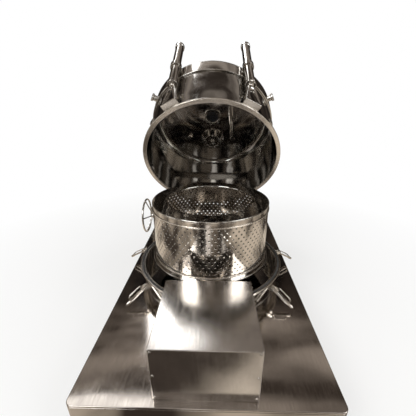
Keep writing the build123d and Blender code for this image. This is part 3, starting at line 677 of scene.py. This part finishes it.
class CENTRIFUGE_OT_base(Operator):
    """Makes the deck, its frame, the dampers and the motor cover."""

    bl_idname = "centrifuge.base"
    bl_label = "Deck and Cover"

    def execute(self, context):
        low, high = (-0.612, -1.000), (0.612, 0.960)
        deck = cut_plate(box_corners(low, high), 0.030, 0.288, DECK_TOP, 0.003, steps=8)
        add_piece("deck_sheet", deck, "root", "deck_steel", ["deck_plate"])
        body = cut_plate(box_corners(low, high), 0.030, 0.120, 0.288, 0.002, steps=8)
        add_piece("deck_body", body, "root", "deck_steel", ["deck_frame"])
        cover = cut_plate(box_corners((-0.235, -0.965), (0.235, -0.526)), 0.005, DECK_TOP, 0.602, 0.003)
        screw = turned_form([(0, 0), (0.0065, 0), (0.0065, 0.0022), (0, 0.0035)], [0, 0, 0.001, 0.0], 20)
        spots = [(x, -0.965, z) for x in (-0.222, 0.222) for z in (0.588, 0.45, 0.318)]
        front = [aimed(screw, p, (p[0], p[1] - 1, p[2])) for p in spots]
        sides = [aimed(screw, (s * 0.235, y, z), (s, y, z)) for s in (-1, 1) for y in (-0.94, -0.56)
                 for z in (0.588, 0.318)]
        hood = joined(cover, *front, *sides)
        add_piece("motor_hood", hood, "root", "cover_steel", ["motor_cover"])
        dampers = {"front_left": (-0.47, -0.82), "front_right": (0.47, -0.82), "back_left": (-0.47, 0.82),
                   "back_right": (0.47, 0.82)}
        for name, centre in dampers.items():
            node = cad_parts["damper_" + name]
            node.data.materials.clear()
            node.data.materials.append(bpy.data.materials["finish_damper_shell"])
            beads = [round_ring(0.0795, 0.0828, z, z + 0.006, 0.0014, 96, centre) for z in (0.040, 0.066)]
            add_piece("damper_beads_" + name, joined(*beads), "root", "damper_shell")
        return {"FINISHED"}


# The upper casing

def plate_with_window():
    """The top plate, open at the sight glass.

    Its section runs from the window's circle to the plate's own: a point is (1 - t) times the one on the
    window plus t times the one on the rim at the same angle.
    """
    section = rounded([(0, PLATE_BASE), (1, PLATE_BASE), (1, PLATE_TOP), (0, PLATE_TOP)],
                      [0.0005, 0.002, 0.003, 0.0005], support=0.0008)
    a = np.linspace(0, 2 * pi, 256, endpoint=False)
    e = np.stack([np.cos(a), np.sin(a)], axis=1)
    near, far = np.array(SIGHT) + 0.060 * e, COLLAR_OUT * e
    t = section[:, 0][:, None, None]
    flat = (1 - t) * near[None] + t * far[None]
    level = np.broadcast_to(section[:, 1][:, None, None], flat.shape[:2] + (1,))
    grid = np.concatenate([flat, level], axis=-1)
    return sheet(grid, wrap_rows=True, wrap_columns=True)


def lug():
    """The block that a bail hooks over, cut to its (r, z) outline with a sloping shoulder."""
    corners = [(0.486, 0.459), (0.520, 0.459), (0.520, 0.495), (0.512, 0.503), (0.486, 0.503)]
    return cut_plate(corners, 0.0025, -0.015, 0.015, 0.0015, axes=(0, 2, 1))


def sight_window():
    """The two rings that hold the pane, with cap nuts on the upper one."""
    upper = round_ring(0.052, 0.082, PLATE_TOP, 0.984, 0.0025, 96, SIGHT)
    lower = round_ring(0.052, 0.078, 0.950, PLATE_BASE, 0.003, 96, SIGHT)
    nuts = repeated(dome_nut(0.0085, 0.013), ring_spots(8, 0.069, 0.984, SIGHT, pi / 8))
    return joined(upper, lower, nuts)


class CENTRIFUGE_OT_lid(Operator):
    """Makes the upper casing: wall, rim, plate, collar, lugs, window, cone, pipe, nozzle and fittings."""

    bl_idname = "centrifuge.lid"
    bl_label = "Upper Casing"

    def execute(self, context):
        n = context.scene.centrifuge_sizes.segments
        wall = lathe(rounded([(CASING_R, LID_RIM_TOP), (CASING_OUT, LID_RIM_TOP), (CASING_OUT, PLATE_BASE),
                              (0.444, PLATE_BASE), (0.444, LID_CEILING), (CASING_R, LID_CEILING)],
                             [0.0002, 0.0002, 0.0457, 0.0004, 0.0004, 0.0397], steps=10), n)
        # The wall here and the top plate below take the steel that is darkened with painted shade.
        add_piece("lid_shell", opened(wall), "lid", "lid_steel_painted_shade", ["lid_wall"])
        rim = joined(round_ring(CASING_R, 0.514, LID_BASE, LID_RIM_TOP, 0.0032, n),
                     weld_bead(CASING_OUT, LID_RIM_TOP, 0.0025))
        add_piece("lid_flange", opened(rim), "lid", "rim_steel", ["lid_rim"])
        add_piece("lid_plate", opened(plate_with_window()), "lid", "lid_steel_painted_shade", ["lid_top"])
        collar = round_ring(CASING_OUT, COLLAR_OUT, COLLAR_BASE, PLATE_BASE, 0.0028, n)
        add_piece("lid_band", opened(collar), "lid", "mirror_steel", ["lid_collar"])
        lugs = joined(*[turned_about(lug(), UP, radians(a)) for a in LATCHES.values()])
        add_piece("latch_lugs", opened(lugs), "lid", "mirror_steel", ["lid_lugs"])
        add_piece("sight_rings", opened(sight_window()), "lid", "mirror_steel", ["sight_frame"])
        pane = turned_form([(0, PLATE_BASE), (0.0598, PLATE_BASE), (0.0598, PLATE_TOP), (0, PLATE_TOP)],
                           [0, 0.001, 0.001, 0], 96, SIGHT)
        add_piece("sight_pane", opened(pane), "lid", "sight_pane", ["sight_glass"])
        section = [(0, PLATE_BASE), (0.104, PLATE_BASE), (0.104, 0.952), (0.0735, 0.912), (0.0735, 0.908),
                   (0.060, 0.908), (0.058, 0.911), (0.030, 0.911), (0.028, 0.908), (0.018, 0.908),
                   (0.018, 0.900), (0, 0.898)]
        radii = [0, 0.0005, 0.003, 0.0015, 0.0015, 0.001, 0.001, 0.001, 0.001, 0.001, 0.002, 0]
        cone = turned_form(section, radii, 128, WASH, 0.0002)
        add_piece("spray_cone", opened(cone), "lid", "mirror_steel", ["wash_cone"])
        section = [(0, PLATE_BASE), (0.020, PLATE_BASE), (0.020, 0.944), (0.015, 0.941), (0.015, 0.932),
                   (0.011, 0.926), (0, 0.926)]
        knob = turned_form(section, [0, 0.0005, 0.002, 0.001, 0.002, 0.001, 0], 40, NOZZLE, 0.0002)
        add_piece("spray_nozzle", opened(knob), "lid", "mirror_steel", ["wash_knob"])
        section = [(0.0165, 0.730), (0.019, 0.730), (0.019, 1.028), (0.044, 1.028), (0.044, 1.038),
                   (0.0165, 1.038)]
        radii = [0.0005, 0.0008, 0.002, 0.002, 0.002, 0.0008]
        pipe = lathe(rounded(section, radii, support=0.0003), 48, FEED)
        foot = round_ring(0.019, 0.027, PLATE_TOP, 0.974, 0.002, 48, FEED)
        heads = repeated(turned_about(hex_bolt(0.005, 0.004), (1, 0, 0), pi),
                         ring_spots(4, 0.034, 1.0275, FEED, pi / 4))
        feed = opened(joined(pipe, foot, heads))
        add_piece("feed_tube", feed, "lid", "mirror_steel", ["feed_pipe"])
        section = [(0, 0.498), (0.022, 0.498), (0.022, 0.524), (0.026, 0.526), (0.030, 0.530), (0.030, 0.542),
                   (0, 0.542)]
        stub = turned_form(section, [0, 0.0005, 0.002, 0.002, 0.002, 0.002, 0], 48, support=0.0003)
        stub = moved(aimed(stub, (0, 0, 0), (1, 0, 0)), (0, 0, 0.910))
        fittings = joined(*[turned_about(stub, UP, radians(a)) for a in (208, 332)])
        add_piece("lid_caps", opened(fittings), "lid", "mirror_steel", ["lid_fittings"])
        return {"FINISHED"}


# The lock cylinders on the upper casing

def lock_cylinder():
    """One lock cylinder at azimuth 0: eye, rod, heads and barrel, turned about its own axis."""
    line = [(0, 0.644), (0.012, 0.644), (0.012, 0.672), (0.020, 0.676), (0.037, 0.676), (0.037, 0.702),
            (0.032, 0.706), (0.032, 1.236), (0.037, 1.240), (0.037, 1.266), (0, 1.266)]
    radii = [0, 0.0005, 0.002, 0.002, 0.003, 0.003, 0.001, 0.001, 0.003, 0.003, 0]
    body = turned_form(line, radii, 64, (CYLINDER_R, 0), 0.0003)
    bore = 0.0071
    eye = lathe(rounded([(bore, -0.010), (0.018, -0.010), (0.018, 0.010), (bore, 0.010)],
                        [0.0005, 0.0015, 0.0015, 0.0005]), 40)
    eye = moved(aimed(eye, (0, 0, 0), (0, 1, 0)), (CYLINDER_R, 0, CYLINDER_PIN_Z))
    ports = [rod((0.570, 0, z), (0.5765, 0, z), 0.008, 0.001, 6) for z in (0.689, 1.245)]
    return joined(body, eye, *ports)


def cylinder_stand():
    """Two legs that lean together over a foot on the rim, with the clevis pin through their heads."""
    r, z = CYLINDER_R, CYLINDER_PIN_Z
    shapes = [cut_plate(box_corners((0.4895, -0.058), (0.552, 0.058)), 0.004, LID_RIM_TOP, 0.473, 0.0015)]
    for side in (-1, 1):
        corners = [(side * 0.044, 0.460), (side * 0.058, 0.460), (side * 0.026, 0.640), (side * 0.022, 0.644),
                   (side * 0.012, 0.644), (side * 0.012, 0.610)]
        shapes.append(cut_plate(corners, 0.002, 0.528, 0.552, 0.0015, axes=(1, 2, 0)))
    shapes.append(rod((r, -0.032, z), (r, 0.032, z), 0.007, 0.001))
    for y in (-0.0295, 0.0295):
        shapes.append(rod((r, y - 0.0024, z), (r, y + 0.0024, z), 0.011, 0.0008))
    return joined(*shapes)


def cylinder_clamp():
    """The clamp ring round the barrel, with its saddle on the collar."""
    section = rounded(box_corners((0.0321, 0.910), (0.041, 0.950)), 0.0015)
    ring = lathe(section, 64, (CYLINDER_R, 0))
    saddle = []
    for side in (-1, 1):
        outer, inner = side * 0.0246, side * 0.010
        corners = [(0.4975, outer), (0.528, outer), (0.513, inner), (0.4985, inner)]
        saddle.append(cut_plate(corners if side > 0 else corners[::-1], 0.002, 0.911, 0.949, 0.0012))
    middle = cut_plate(box_corners((0.4990, -0.014), (0.5085, 0.014)), 0.002, 0.911, 0.949, 0.0012)
    return joined(ring, *saddle, middle)


class CENTRIFUGE_OT_cylinders(Operator):
    """Makes the two lock cylinders with their stands and clamps."""

    bl_idname = "centrifuge.cylinders"
    bl_label = "Lock Cylinders"

    def execute(self, context):
        for side, azimuth in CYLINDERS.items():
            for name, shape, node in (("cylinder_barrel_", lock_cylinder(), "lock_cylinder_"),
                                      ("cylinder_legs_", cylinder_stand(), "cylinder_stand_"),
                                      ("cylinder_strap_", cylinder_clamp(), "cylinder_clamp_")):
                placed = opened(turned_about(shape, UP, radians(azimuth)))
                add_piece(name + side, placed, "lid", "mirror_steel", [node + side])
        return {"FINISHED"}


# Hinge, gearbox and handwheel

def on_hinge(left, right, radius, edge, segments):
    """A round bar on the hinge line, from one x to another."""
    return rod((left, HINGE[1], HINGE[2]), (right, HINGE[1], HINGE[2]), radius, edge, segments)


def lid_arm(x):
    """One arm of the upper casing; its root lies against the wall: y is at least sqrt(r^2 - x^2)."""
    corners = [(0.404, 0.466), (HINGE[1], 0.4832), (0.770, HINGE[2]), (0.750, 0.5856), (0.500, 0.770),
               (0.404, 0.770)]
    half = ARM_HALF - BOSS_STEP
    points, faces = cut_plate(corners, [0.002, 0.050, 0.050, 0.030, 0.040, 0.002], x - half, x + half, 0.003,
                              axes=(1, 2, 0))
    root = np.sqrt(0.487 ** 2 - points[:, 0] ** 2)
    points[:, 1] = np.maximum(points[:, 1], root)
    boss = on_hinge(x - ARM_HALF, x + ARM_HALF, 0.056, 0.003, 96)
    return joined((points, faces), boss)


def hinge_post(x):
    """One post: two slanting sides up to a round head."""
    y, z = HINGE[1], HINGE[2]
    corners = [(y - 0.096, DECK_TOP), (y + 0.096, DECK_TOP), (y + 0.096, 0.320), (y + 0.0524, z),
               (y - 0.0524, z), (y - 0.096, 0.320)]
    half, cap_half = POST_HALF - BOSS_STEP, POST_HALF + 0.0045
    plate = cut_plate(corners, [0.003, 0.003, 0.004, 0.010, 0.010, 0.004], x - half, x + half, 0.003,
                      axes=(1, 2, 0))
    boss = on_hinge(x - POST_HALF, x + POST_HALF, 0.054, 0.003, 96)
    cap = on_hinge(x - cap_half, x + cap_half, 0.034, 0.002, 64)
    return joined(plate, boss, cap)


def gearbox_case():
    """The gearbox: a round-topped case on a bolted foot, with a cover and the input boss on its side."""
    y = HINGE[1]
    case = cut_plate(box_corners((y - 0.074, 0.316), (y + 0.074, 0.600)), [0.004, 0.004, 0.040, 0.040],
                     -0.510, -0.378, 0.004, axes=(1, 2, 0), steps=10)
    foot = slab((-0.520, y - 0.096, DECK_TOP), (-0.378, y + 0.096, 0.320), 0.006, 0.002)
    section = box_corners((0.01205, 0), (0.034, 0.020))
    boss = lathe(rounded(section, [0.0005, 0.002, 0.001, 0.0005]), 64)
    boss = aimed(boss, (-0.508, y, INPUT_Z), (-1, y, INPUT_Z))
    cover = on_hinge(-0.512, -0.508, 0.050, 0.0015, 64)
    ring = np.linspace(0, 2 * pi, 6, endpoint=False)
    heads = [aimed(hex_bolt(0.005, 0.004), (-0.512, y + 0.041 * np.cos(a), HINGE[2] + 0.041 * np.sin(a)),
                   (-1, y + 0.041 * np.cos(a), HINGE[2] + 0.041 * np.sin(a))) for a in ring]
    corners = np.array([(x, y + s * 0.086, 0.320) for x in (-0.504, -0.394) for s in (-1, 1)])
    bolts = repeated(hex_bolt(0.008, 0.007), corners)
    return joined(case, foot, boss, cover, *heads, bolts)


def handwheel(radius):
    """The dished wheel: a ring, five spokes that are slimmer in the middle, and a hub on the input shaft."""
    y, z, rim_x, hub_x = HINGE[1], INPUT_Z, -0.668, -0.606
    a = np.linspace(0, 2 * pi, 128, endpoint=False)
    path = np.stack([np.full(128, rim_x), y + radius * np.cos(a), z + radius * np.sin(a)], axis=1)
    shapes = [tube(path, 0.0086, (1, 0, 0), 24, closed=True)]
    s = np.linspace(0, 1, 24)
    for angle in radians(170) + np.arange(5) * 2 * pi / 5:
        reach = 0.008 + (radius - 0.008) * s
        lean = hub_x + (rim_x - hub_x) * s
        spoke = np.stack([lean, y + reach * np.cos(angle), z + reach * np.sin(angle)], axis=1)
        square = (0, -np.sin(angle), np.cos(angle))
        shapes.append(tube(spoke, 0.0065 - 0.0012 * np.sin(pi * s), square, 16))
    hub = turned_form([(0, 0), (0.012, 0), (0.012, 0.002), (0.022, 0.004), (0.022, 0.040), (0, 0.040)],
                      [0, 0.001, 0.001, 0.006, 0.005, 0], 64)
    shapes.append(aimed(hub, (hub_x - 0.020, y, z), (0, y, z)))
    shapes.append(rod((hub_x, y, z), (-0.502, y, z), 0.012, 0.001, 40))
    shapes.append(aimed(dome_nut(0.009, 0.008), (hub_x - 0.018, y, z), (-1, y, z)))
    return joined(*shapes)


class CENTRIFUGE_OT_hinge(Operator):
    """Makes the hinge posts, arms and shaft, the gearbox and the handwheel."""

    bl_idname = "centrifuge.hinge"
    bl_label = "Hinge and Handwheel"

    def execute(self, context):
        for side, x in (("left", -ARM_X), ("right", ARM_X)):
            add_piece("lid_arm_" + side, opened(lid_arm(x)), "lid", "satin_steel", ["hinge_arm_" + side])
        for side, x in (("left", -POST_X), ("right", POST_X)):
            add_piece("shaft_post_" + side, hinge_post(x), "root", "satin_steel", ["hinge_post_" + side])
        shaft = on_hinge(-0.400, 0.341, 0.025, 0.003, 64)
        add_piece("lid_shaft", shaft, "lid", "satin_steel", ["hinge_shaft"])
        add_piece("gearbox_case", gearbox_case(), "root", "satin_steel", ["gearbox"])
        wheel = handwheel(context.scene.centrifuge_sizes.wheel_radius)
        add_piece("lid_handwheel", wheel, "handwheel", "mirror_steel", ["handwheel"])
        return {"FINISHED"}


# Toggle latches

def at_latch(shape, azimuth):
    """A lever or bail made along +X from its pin, drooped, put on its bracket and turned to its azimuth."""
    drooped = turned_about(shape, (0, 1, 0), LEVER_DROOP)
    return turned_about(moved(drooped, (PIVOT_R, 0, PIVOT_Z)), UP, radians(azimuth))


def latch_bracket(strut):
    """Two ears with a pin between them on a pad; a front one also has a slanting stay along the casing."""
    z, r = PIVOT_Z, PIVOT_R
    shapes = [cut_plate(box_corners((0.4885, -0.019), (0.521, 0.019)), 0.003, 0.392, 0.414, 0.002)]
    for side in (-1, 1):
        low, high = sorted((side * 0.011, side * 0.019))
        tip = r + 0.012
        corners = [(0.518, 0.392), (r, 0.392), (tip, 0.396), (tip, 0.412), (r, 0.416), (0.518, 0.414)]
        shapes.append(cut_plate(corners, [0.002, 0.010, 0.008, 0.008, 0.010, 0.002], low, high, 0.0015,
                                axes=(0, 2, 1)))
    if strut:
        t = radians(strut * 13)
        start, end = (0.500, strut * 0.015, z - 0.002), (0.4985 * np.cos(t), 0.4985 * np.sin(t), z - 0.057)
        shapes.append(rod(start, end, 0.006, 0.003, 20))
    return joined(*shapes)


def lever():
    """One lever: a rounded section carried along X whose half width and half height change on the way.

    The section is the superellipse |y/w|^n + |z/h|^n = 1. w, h and n run through the stations below, which
    are in millimetres: n falls from 4 on the flat blade to 2 on the round grip.
    """
    x = np.array([-7.8, -7.4, -4, 10, 30, 36, 110, 116, 120, 143, 147.2, 147.8]) / 1000
    w = np.array([3.0, 5.5, 7, 7, 7, 9.5, 10.8, 9.5, 8.8, 8.8, 7.2, 4.5]) / 1000
    h = np.array([3.0, 5.0, 6, 6, 6, 3.8, 3.8, 7.0, 8.8, 8.8, 7.2, 4.5]) / 1000
    n = np.array([4, 4, 4, 4, 4, 4, 4, 3, 2, 2, 2, 2.0])
    a = np.linspace(0, 2 * pi, 32, endpoint=False)
    c, s = np.cos(a)[None], np.sin(a)[None]
    power = (2 / n)[:, None]
    y = w[:, None] * np.sign(c) * np.abs(c) ** power
    z = h[:, None] * np.sign(s) * np.abs(s) ** power
    grid = np.stack([np.repeat(x[:, None], 32, 1), y, z], axis=-1)
    shapes = [sheet(grid, wrap_columns=True, caps=True)]
    shapes.append(cut_plate([(0.009, 0.000), (0.023, 0.000), (0.023, 0.019), (0.009, 0.019)],
                            [0.001, 0.001, 0.006, 0.006], -0.007, 0.007, 0.001, axes=(0, 2, 1)))
    shapes.append(rod((0, -0.0208, 0), (0, 0.0208, 0), 0.005, 0.001, 20))
    return joined(*shapes)


def bail():
    """One bail: a rod carried round a rectangle with rounded corners."""
    corners = box_corners((0.016, -0.027), (0.110, 0.027))
    line = rounded(corners, [0.003, 0.010, 0.010, 0.003], steps=6, support=0.004)
    path = np.concatenate([line, np.full((len(line), 1), 0.012)], axis=1)
    return tube(path, 0.004, (0, 0, 1), 16, closed=True)


class CENTRIFUGE_OT_latches(Operator):
    """Makes the four toggle latches: bracket, lever and bail."""

    bl_idname = "centrifuge.latches"
    bl_label = "Toggle Latches"

    def execute(self, context):
        for name, azimuth in LATCHES.items():
            strut = {"front_left": 1, "front_right": -1}.get(name, 0)
            bracket = turned_about(latch_bracket(strut), UP, radians(azimuth))
            arm, loop = at_latch(lever(), azimuth), at_latch(bail(), azimuth)
            add_piece("latch_ears_" + name, bracket, "root", "rim_steel", ["latch_bracket_" + name])
            add_piece("latch_arm_" + name, arm, "lever_" + name, "rim_steel", ["latch_lever_" + name])
            add_piece("latch_loop_" + name, loop, "bail_" + name, "rim_steel", ["latch_bail_" + name])
        return {"FINISHED"}


# The stage

def room_glow(name, dark, light, scale, stretch, start, end):
    """A card's glow: two colours that noise spreads over it."""
    material = bpy.data.materials.new(name)
    material.use_nodes = True
    tree = material.node_tree
    tree.nodes.clear()
    out = tree.nodes.new("ShaderNodeOutputMaterial")
    glow = tree.nodes.new("ShaderNodeEmission")
    place = tree.nodes.new("ShaderNodeTexCoord").outputs["Object"]
    patches = pattern(tree, place, scale, 3.0, 0.6, stretch)
    tree.links.new(tinted(tree, patches, dark, light, start, end), glow.inputs["Color"])
    glow.inputs["Strength"].default_value = 1.0
    tree.links.new(glow.outputs[0], out.inputs["Surface"])
    return material


def card(name, corners, dark, light, scale=0.6, stretch=(1, 1, 1), start=0.42, end=0.62):
    """A flat card round the object that only reflections see."""
    mesh = bpy.data.meshes.new(name)
    mesh.from_pydata([list(c) for c in corners], [], [list(range(len(corners)))])
    mesh.materials.append(room_glow(name, dark, light, scale, stretch, start, end))
    panel = bpy.data.objects.new(name, mesh)
    bpy.context.scene.collection.objects.link(panel)
    panel.visible_camera = panel.visible_diffuse = panel.visible_shadow = False
    panel.visible_transmission = panel.visible_volume_scatter = False


def white_seen(tree):
    """One for the camera's rays, reflections and rays through glass, from Light Path, and zero for others."""
    rays = tree.nodes.new("ShaderNodeLightPath").outputs
    seen = combined(tree, "MAXIMUM", rays["Is Camera Ray"], rays["Is Glossy Ray"])
    return combined(tree, "MAXIMUM", seen, rays["Is Transmission Ray"])


class CENTRIFUGE_OT_stage(Operator):
    """Makes the floor, the reflected cards, the soft lamps, the white world and the camera."""

    bl_idname = "centrifuge.stage"
    bl_label = "Stage"

    def execute(self, context):
        look = context.scene.centrifuge_look
        self.floor(look)
        self.cards()
        self.lamps(context, look)
        self.world(context)
        self.camera(context)
        return {"FINISHED"}

    def floor(self, look):
        """A wide pale floor that fades to the white background away from the object."""
        mesh = bpy.data.meshes.new("studio_floor")
        mesh.from_pydata([(-60, -60, 0), (60, -60, 0), (60, 60, 0), (-60, 60, 0)], [], [(0, 1, 2, 3)])
        material = bpy.data.materials.new("studio_floor")
        material.use_nodes = True
        tree = material.node_tree
        tree.nodes.clear()
        out = tree.nodes.new("ShaderNodeOutputMaterial")
        shade = tree.nodes.new("ShaderNodeBsdfDiffuse")
        shade.inputs["Color"].default_value = (*look.floor, 1)
        glow = tree.nodes.new("ShaderNodeEmission")
        glow.inputs["Color"].default_value = (1, 1, 1, 1)
        glow.inputs["Strength"].default_value = 1.0
        place = tree.nodes.new("ShaderNodeTexCoord").outputs["Object"]
        reach = tree.nodes.new("ShaderNodeVectorMath")
        reach.operation = "LENGTH"
        tree.links.new(place, reach.inputs[0])
        fade = between(tree, reach.outputs["Value"], 0.55, 1.0, 1.2, 3.2)
        mixed(tree, combined(tree, "MULTIPLY", fade, white_seen(tree)), shade, glow, out)
        mesh.materials.append(material)
        ground = bpy.data.objects.new("studio_floor", mesh)
        bpy.context.scene.collection.objects.link(ground)

    def cards(self):
        """Dark cards with bright panes between them, a room's worth of reflections for the polished steel."""
        black, brown, tan = (0.012, 0.010, 0.009), (0.060, 0.047, 0.038), (0.34, 0.29, 0.24)
        beige, pale, white = (0.46, 0.40, 0.35), (0.80, 0.70, 0.58), (2.2, 2.15, 2.1)
        r, low = 7, 0.01
        walls = {
            "ceiling": ([(-r, -r, r), (r, -r, r), (r, r, r), (-r, r, r)], brown, beige, 0.5, (0.3, 2.2, 1)),
            "back": ([(-r, r, low), (r, r, low), (r, r, r), (-r, r, r)], black, brown, 0.7, (1.4, 1, 0.5)),
            "left": ([(-r, -r, low), (-r, r, low), (-r, r, r), (-r, -r, r)], black, tan, 0.5, (1, 1.2, 0.4)),
            "right": ([(r, -r, low), (r, r, low), (r, r, r), (r, -r, r)], black, brown, 0.6, (1, 1.2, 0.4)),
            "front": ([(-r, -r, low), (r, -r, low), (r, -r, r), (-r, -r, r)], black, tan, 0.5, (1.4, 1, 0.5)),
        }
        for name, (corners, dark, light, scale, stretch) in walls.items():
            card("card_" + name, corners, dark, light, scale, stretch)
        ground = [(-r, -r, 0.012), (r, -r, 0.012), (r, r, 0.012), (-r, r, 0.012)]
        card("card_ground", ground, brown, pale, 0.9, (1, 1, 1), 0.42, 0.58)
        panes = {
            "strip_back": [(-4.6, 2.6, 6.9), (-1.6, 2.6, 6.9), (-1.6, 3.1, 6.9), (-4.6, 3.1, 6.9)],
            "strip_mid": [(-5.0, -0.6, 6.9), (5.0, -0.6, 6.9), (5.0, -0.2, 6.9), (-5.0, -0.2, 6.9)],
            "strip_front": [(-5.0, -4.2, 6.9), (5.0, -4.2, 6.9), (5.0, -3.7, 6.9), (-5.0, -3.7, 6.9)],
            "skylight": [(-1.7, 5.2, 6.8), (-0.7, 5.2, 6.8), (-0.7, 6.8, 6.8), (-1.7, 6.8, 6.8)],
            "front_left": [(-4.4, -6.9, 1.6), (-3.1, -6.9, 1.6), (-3.1, -6.9, 5.4), (-4.4, -6.9, 5.4)],
            "front_mid": [(-0.9, -6.9, 2.4), (0.1, -6.9, 2.4), (0.1, -6.9, 5.6), (-0.9, -6.9, 5.6)],
            "front_right": [(3.0, -6.9, 1.6), (3.9, -6.9, 1.6), (3.9, -6.9, 5.4), (3.0, -6.9, 5.4)],
            "left": [(-6.9, -3.0, 0.8), (-6.9, -0.8, 0.8), (-6.9, -0.8, 5.2), (-6.9, -3.0, 5.2)],
            "right": [(6.9, -2.4, 1.2), (6.9, -1.4, 1.2), (6.9, -1.4, 5.2), (6.9, -2.4, 5.2)],
        }
        for name, corners in panes.items():
            card("card_" + name, corners, tuple(0.6 * c for c in white), white, 1.2)

    def lamps(self, context, look):
        """Three large soft lamps aimed at the drum."""
        for name, place, size, share in (("key_lamp", (-3.2, -3.6, 4.6), 2.6, 1.0),
                                         ("fill_lamp", (3.8, -2.4, 3.6), 2.4, 0.55),
                                         ("back_lamp", (-1.2, 4.6, 6.0), 1.7, 0.2)):
            data = bpy.data.lights.new(name, "AREA")
            data.shape, data.size, data.energy = "SQUARE", size, look.lamp * share
            lamp = bpy.data.objects.new(name, data)
            lamp.location = place
            lamp.rotation_euler = (Vector((0, 0, 0.7)) - Vector(place)).to_track_quat("-Z", "Y").to_euler()
            context.scene.collection.objects.link(lamp)

    def world(self, context):
        """A soft even world that the camera, reflections and clear glass see as white."""
        world = bpy.data.worlds.new("studio_world")
        world.use_nodes = True
        tree = world.node_tree
        tree.nodes.clear()
        out = tree.nodes.new("ShaderNodeOutputWorld")
        soft, white = tree.nodes.new("ShaderNodeBackground"), tree.nodes.new("ShaderNodeBackground")
        soft.inputs["Color"].default_value, soft.inputs["Strength"].default_value = (1.0, 0.99, 0.97, 1), 0.6
        white.inputs["Color"].default_value, white.inputs["Strength"].default_value = (1, 1, 1, 1), 1.0
        mixed(tree, white_seen(tree), soft, white, out)
        context.scene.world = world

    def camera(self, context):
        """The camera at the photograph's place and angle."""
        data = bpy.data.cameras.new("photo_camera")
        data.sensor_width, data.lens = 36.0, 22.21
        data.shift_x, data.shift_y = -0.0048, 0.0024
        data.clip_end = 200.0
        camera = bpy.data.objects.new("photo_camera", data)
        camera.location = (0.037, -1.691, 1.498)
        camera.rotation_euler = Euler((radians(90 - 21.95), 0, radians(1.39)), "XYZ")
        context.scene.collection.objects.link(camera)
        context.scene.camera = camera
        context.scene.view_settings.view_transform = "Standard"


PIECES = (CENTRIFUGE_OT_finishes, CENTRIFUGE_OT_base, CENTRIFUGE_OT_casing, CENTRIFUGE_OT_drum,
          CENTRIFUGE_OT_lid, CENTRIFUGE_OT_cylinders, CENTRIFUGE_OT_hinge, CENTRIFUGE_OT_latches,
          CENTRIFUGE_OT_stage)


class CENTRIFUGE_PT_panel(Panel):
    """Lists the sizes, the colours and the pieces."""

    bl_label = "Screen Centrifuge"
    bl_idname = "CENTRIFUGE_PT_panel"
    bl_space_type = "VIEW_3D"
    bl_region_type = "UI"
    bl_category = "Centrifuge"

    def draw(self, context):
        column = self.layout.column()
        for group in (context.scene.centrifuge_sizes, context.scene.centrifuge_look):
            for key in group.__annotations__:
                column.prop(group, key)
        for operator in PIECES:
            column.operator(operator.bl_idname)


def register():
    for item in (CentrifugeSizes, CentrifugeLook, *PIECES, CENTRIFUGE_PT_panel):
        bpy.utils.register_class(item)
    bpy.types.Scene.centrifuge_sizes = PointerProperty(type=CentrifugeSizes)
    bpy.types.Scene.centrifuge_look = PointerProperty(type=CentrifugeLook)


def unregister():
    del bpy.types.Scene.centrifuge_sizes
    del bpy.types.Scene.centrifuge_look
    for item in reversed((CentrifugeSizes, CentrifugeLook, *PIECES, CENTRIFUGE_PT_panel)):
        bpy.utils.unregister_class(item)


def main():
    """Makes every piece."""
    register()
    for make in (bpy.ops.centrifuge.finishes, bpy.ops.centrifuge.base, bpy.ops.centrifuge.casing,
                 bpy.ops.centrifuge.drum, bpy.ops.centrifuge.lid, bpy.ops.centrifuge.cylinders,
                 bpy.ops.centrifuge.hinge, bpy.ops.centrifuge.latches, bpy.ops.centrifuge.stage):
        make()


if __name__ == "__main__":
    main()
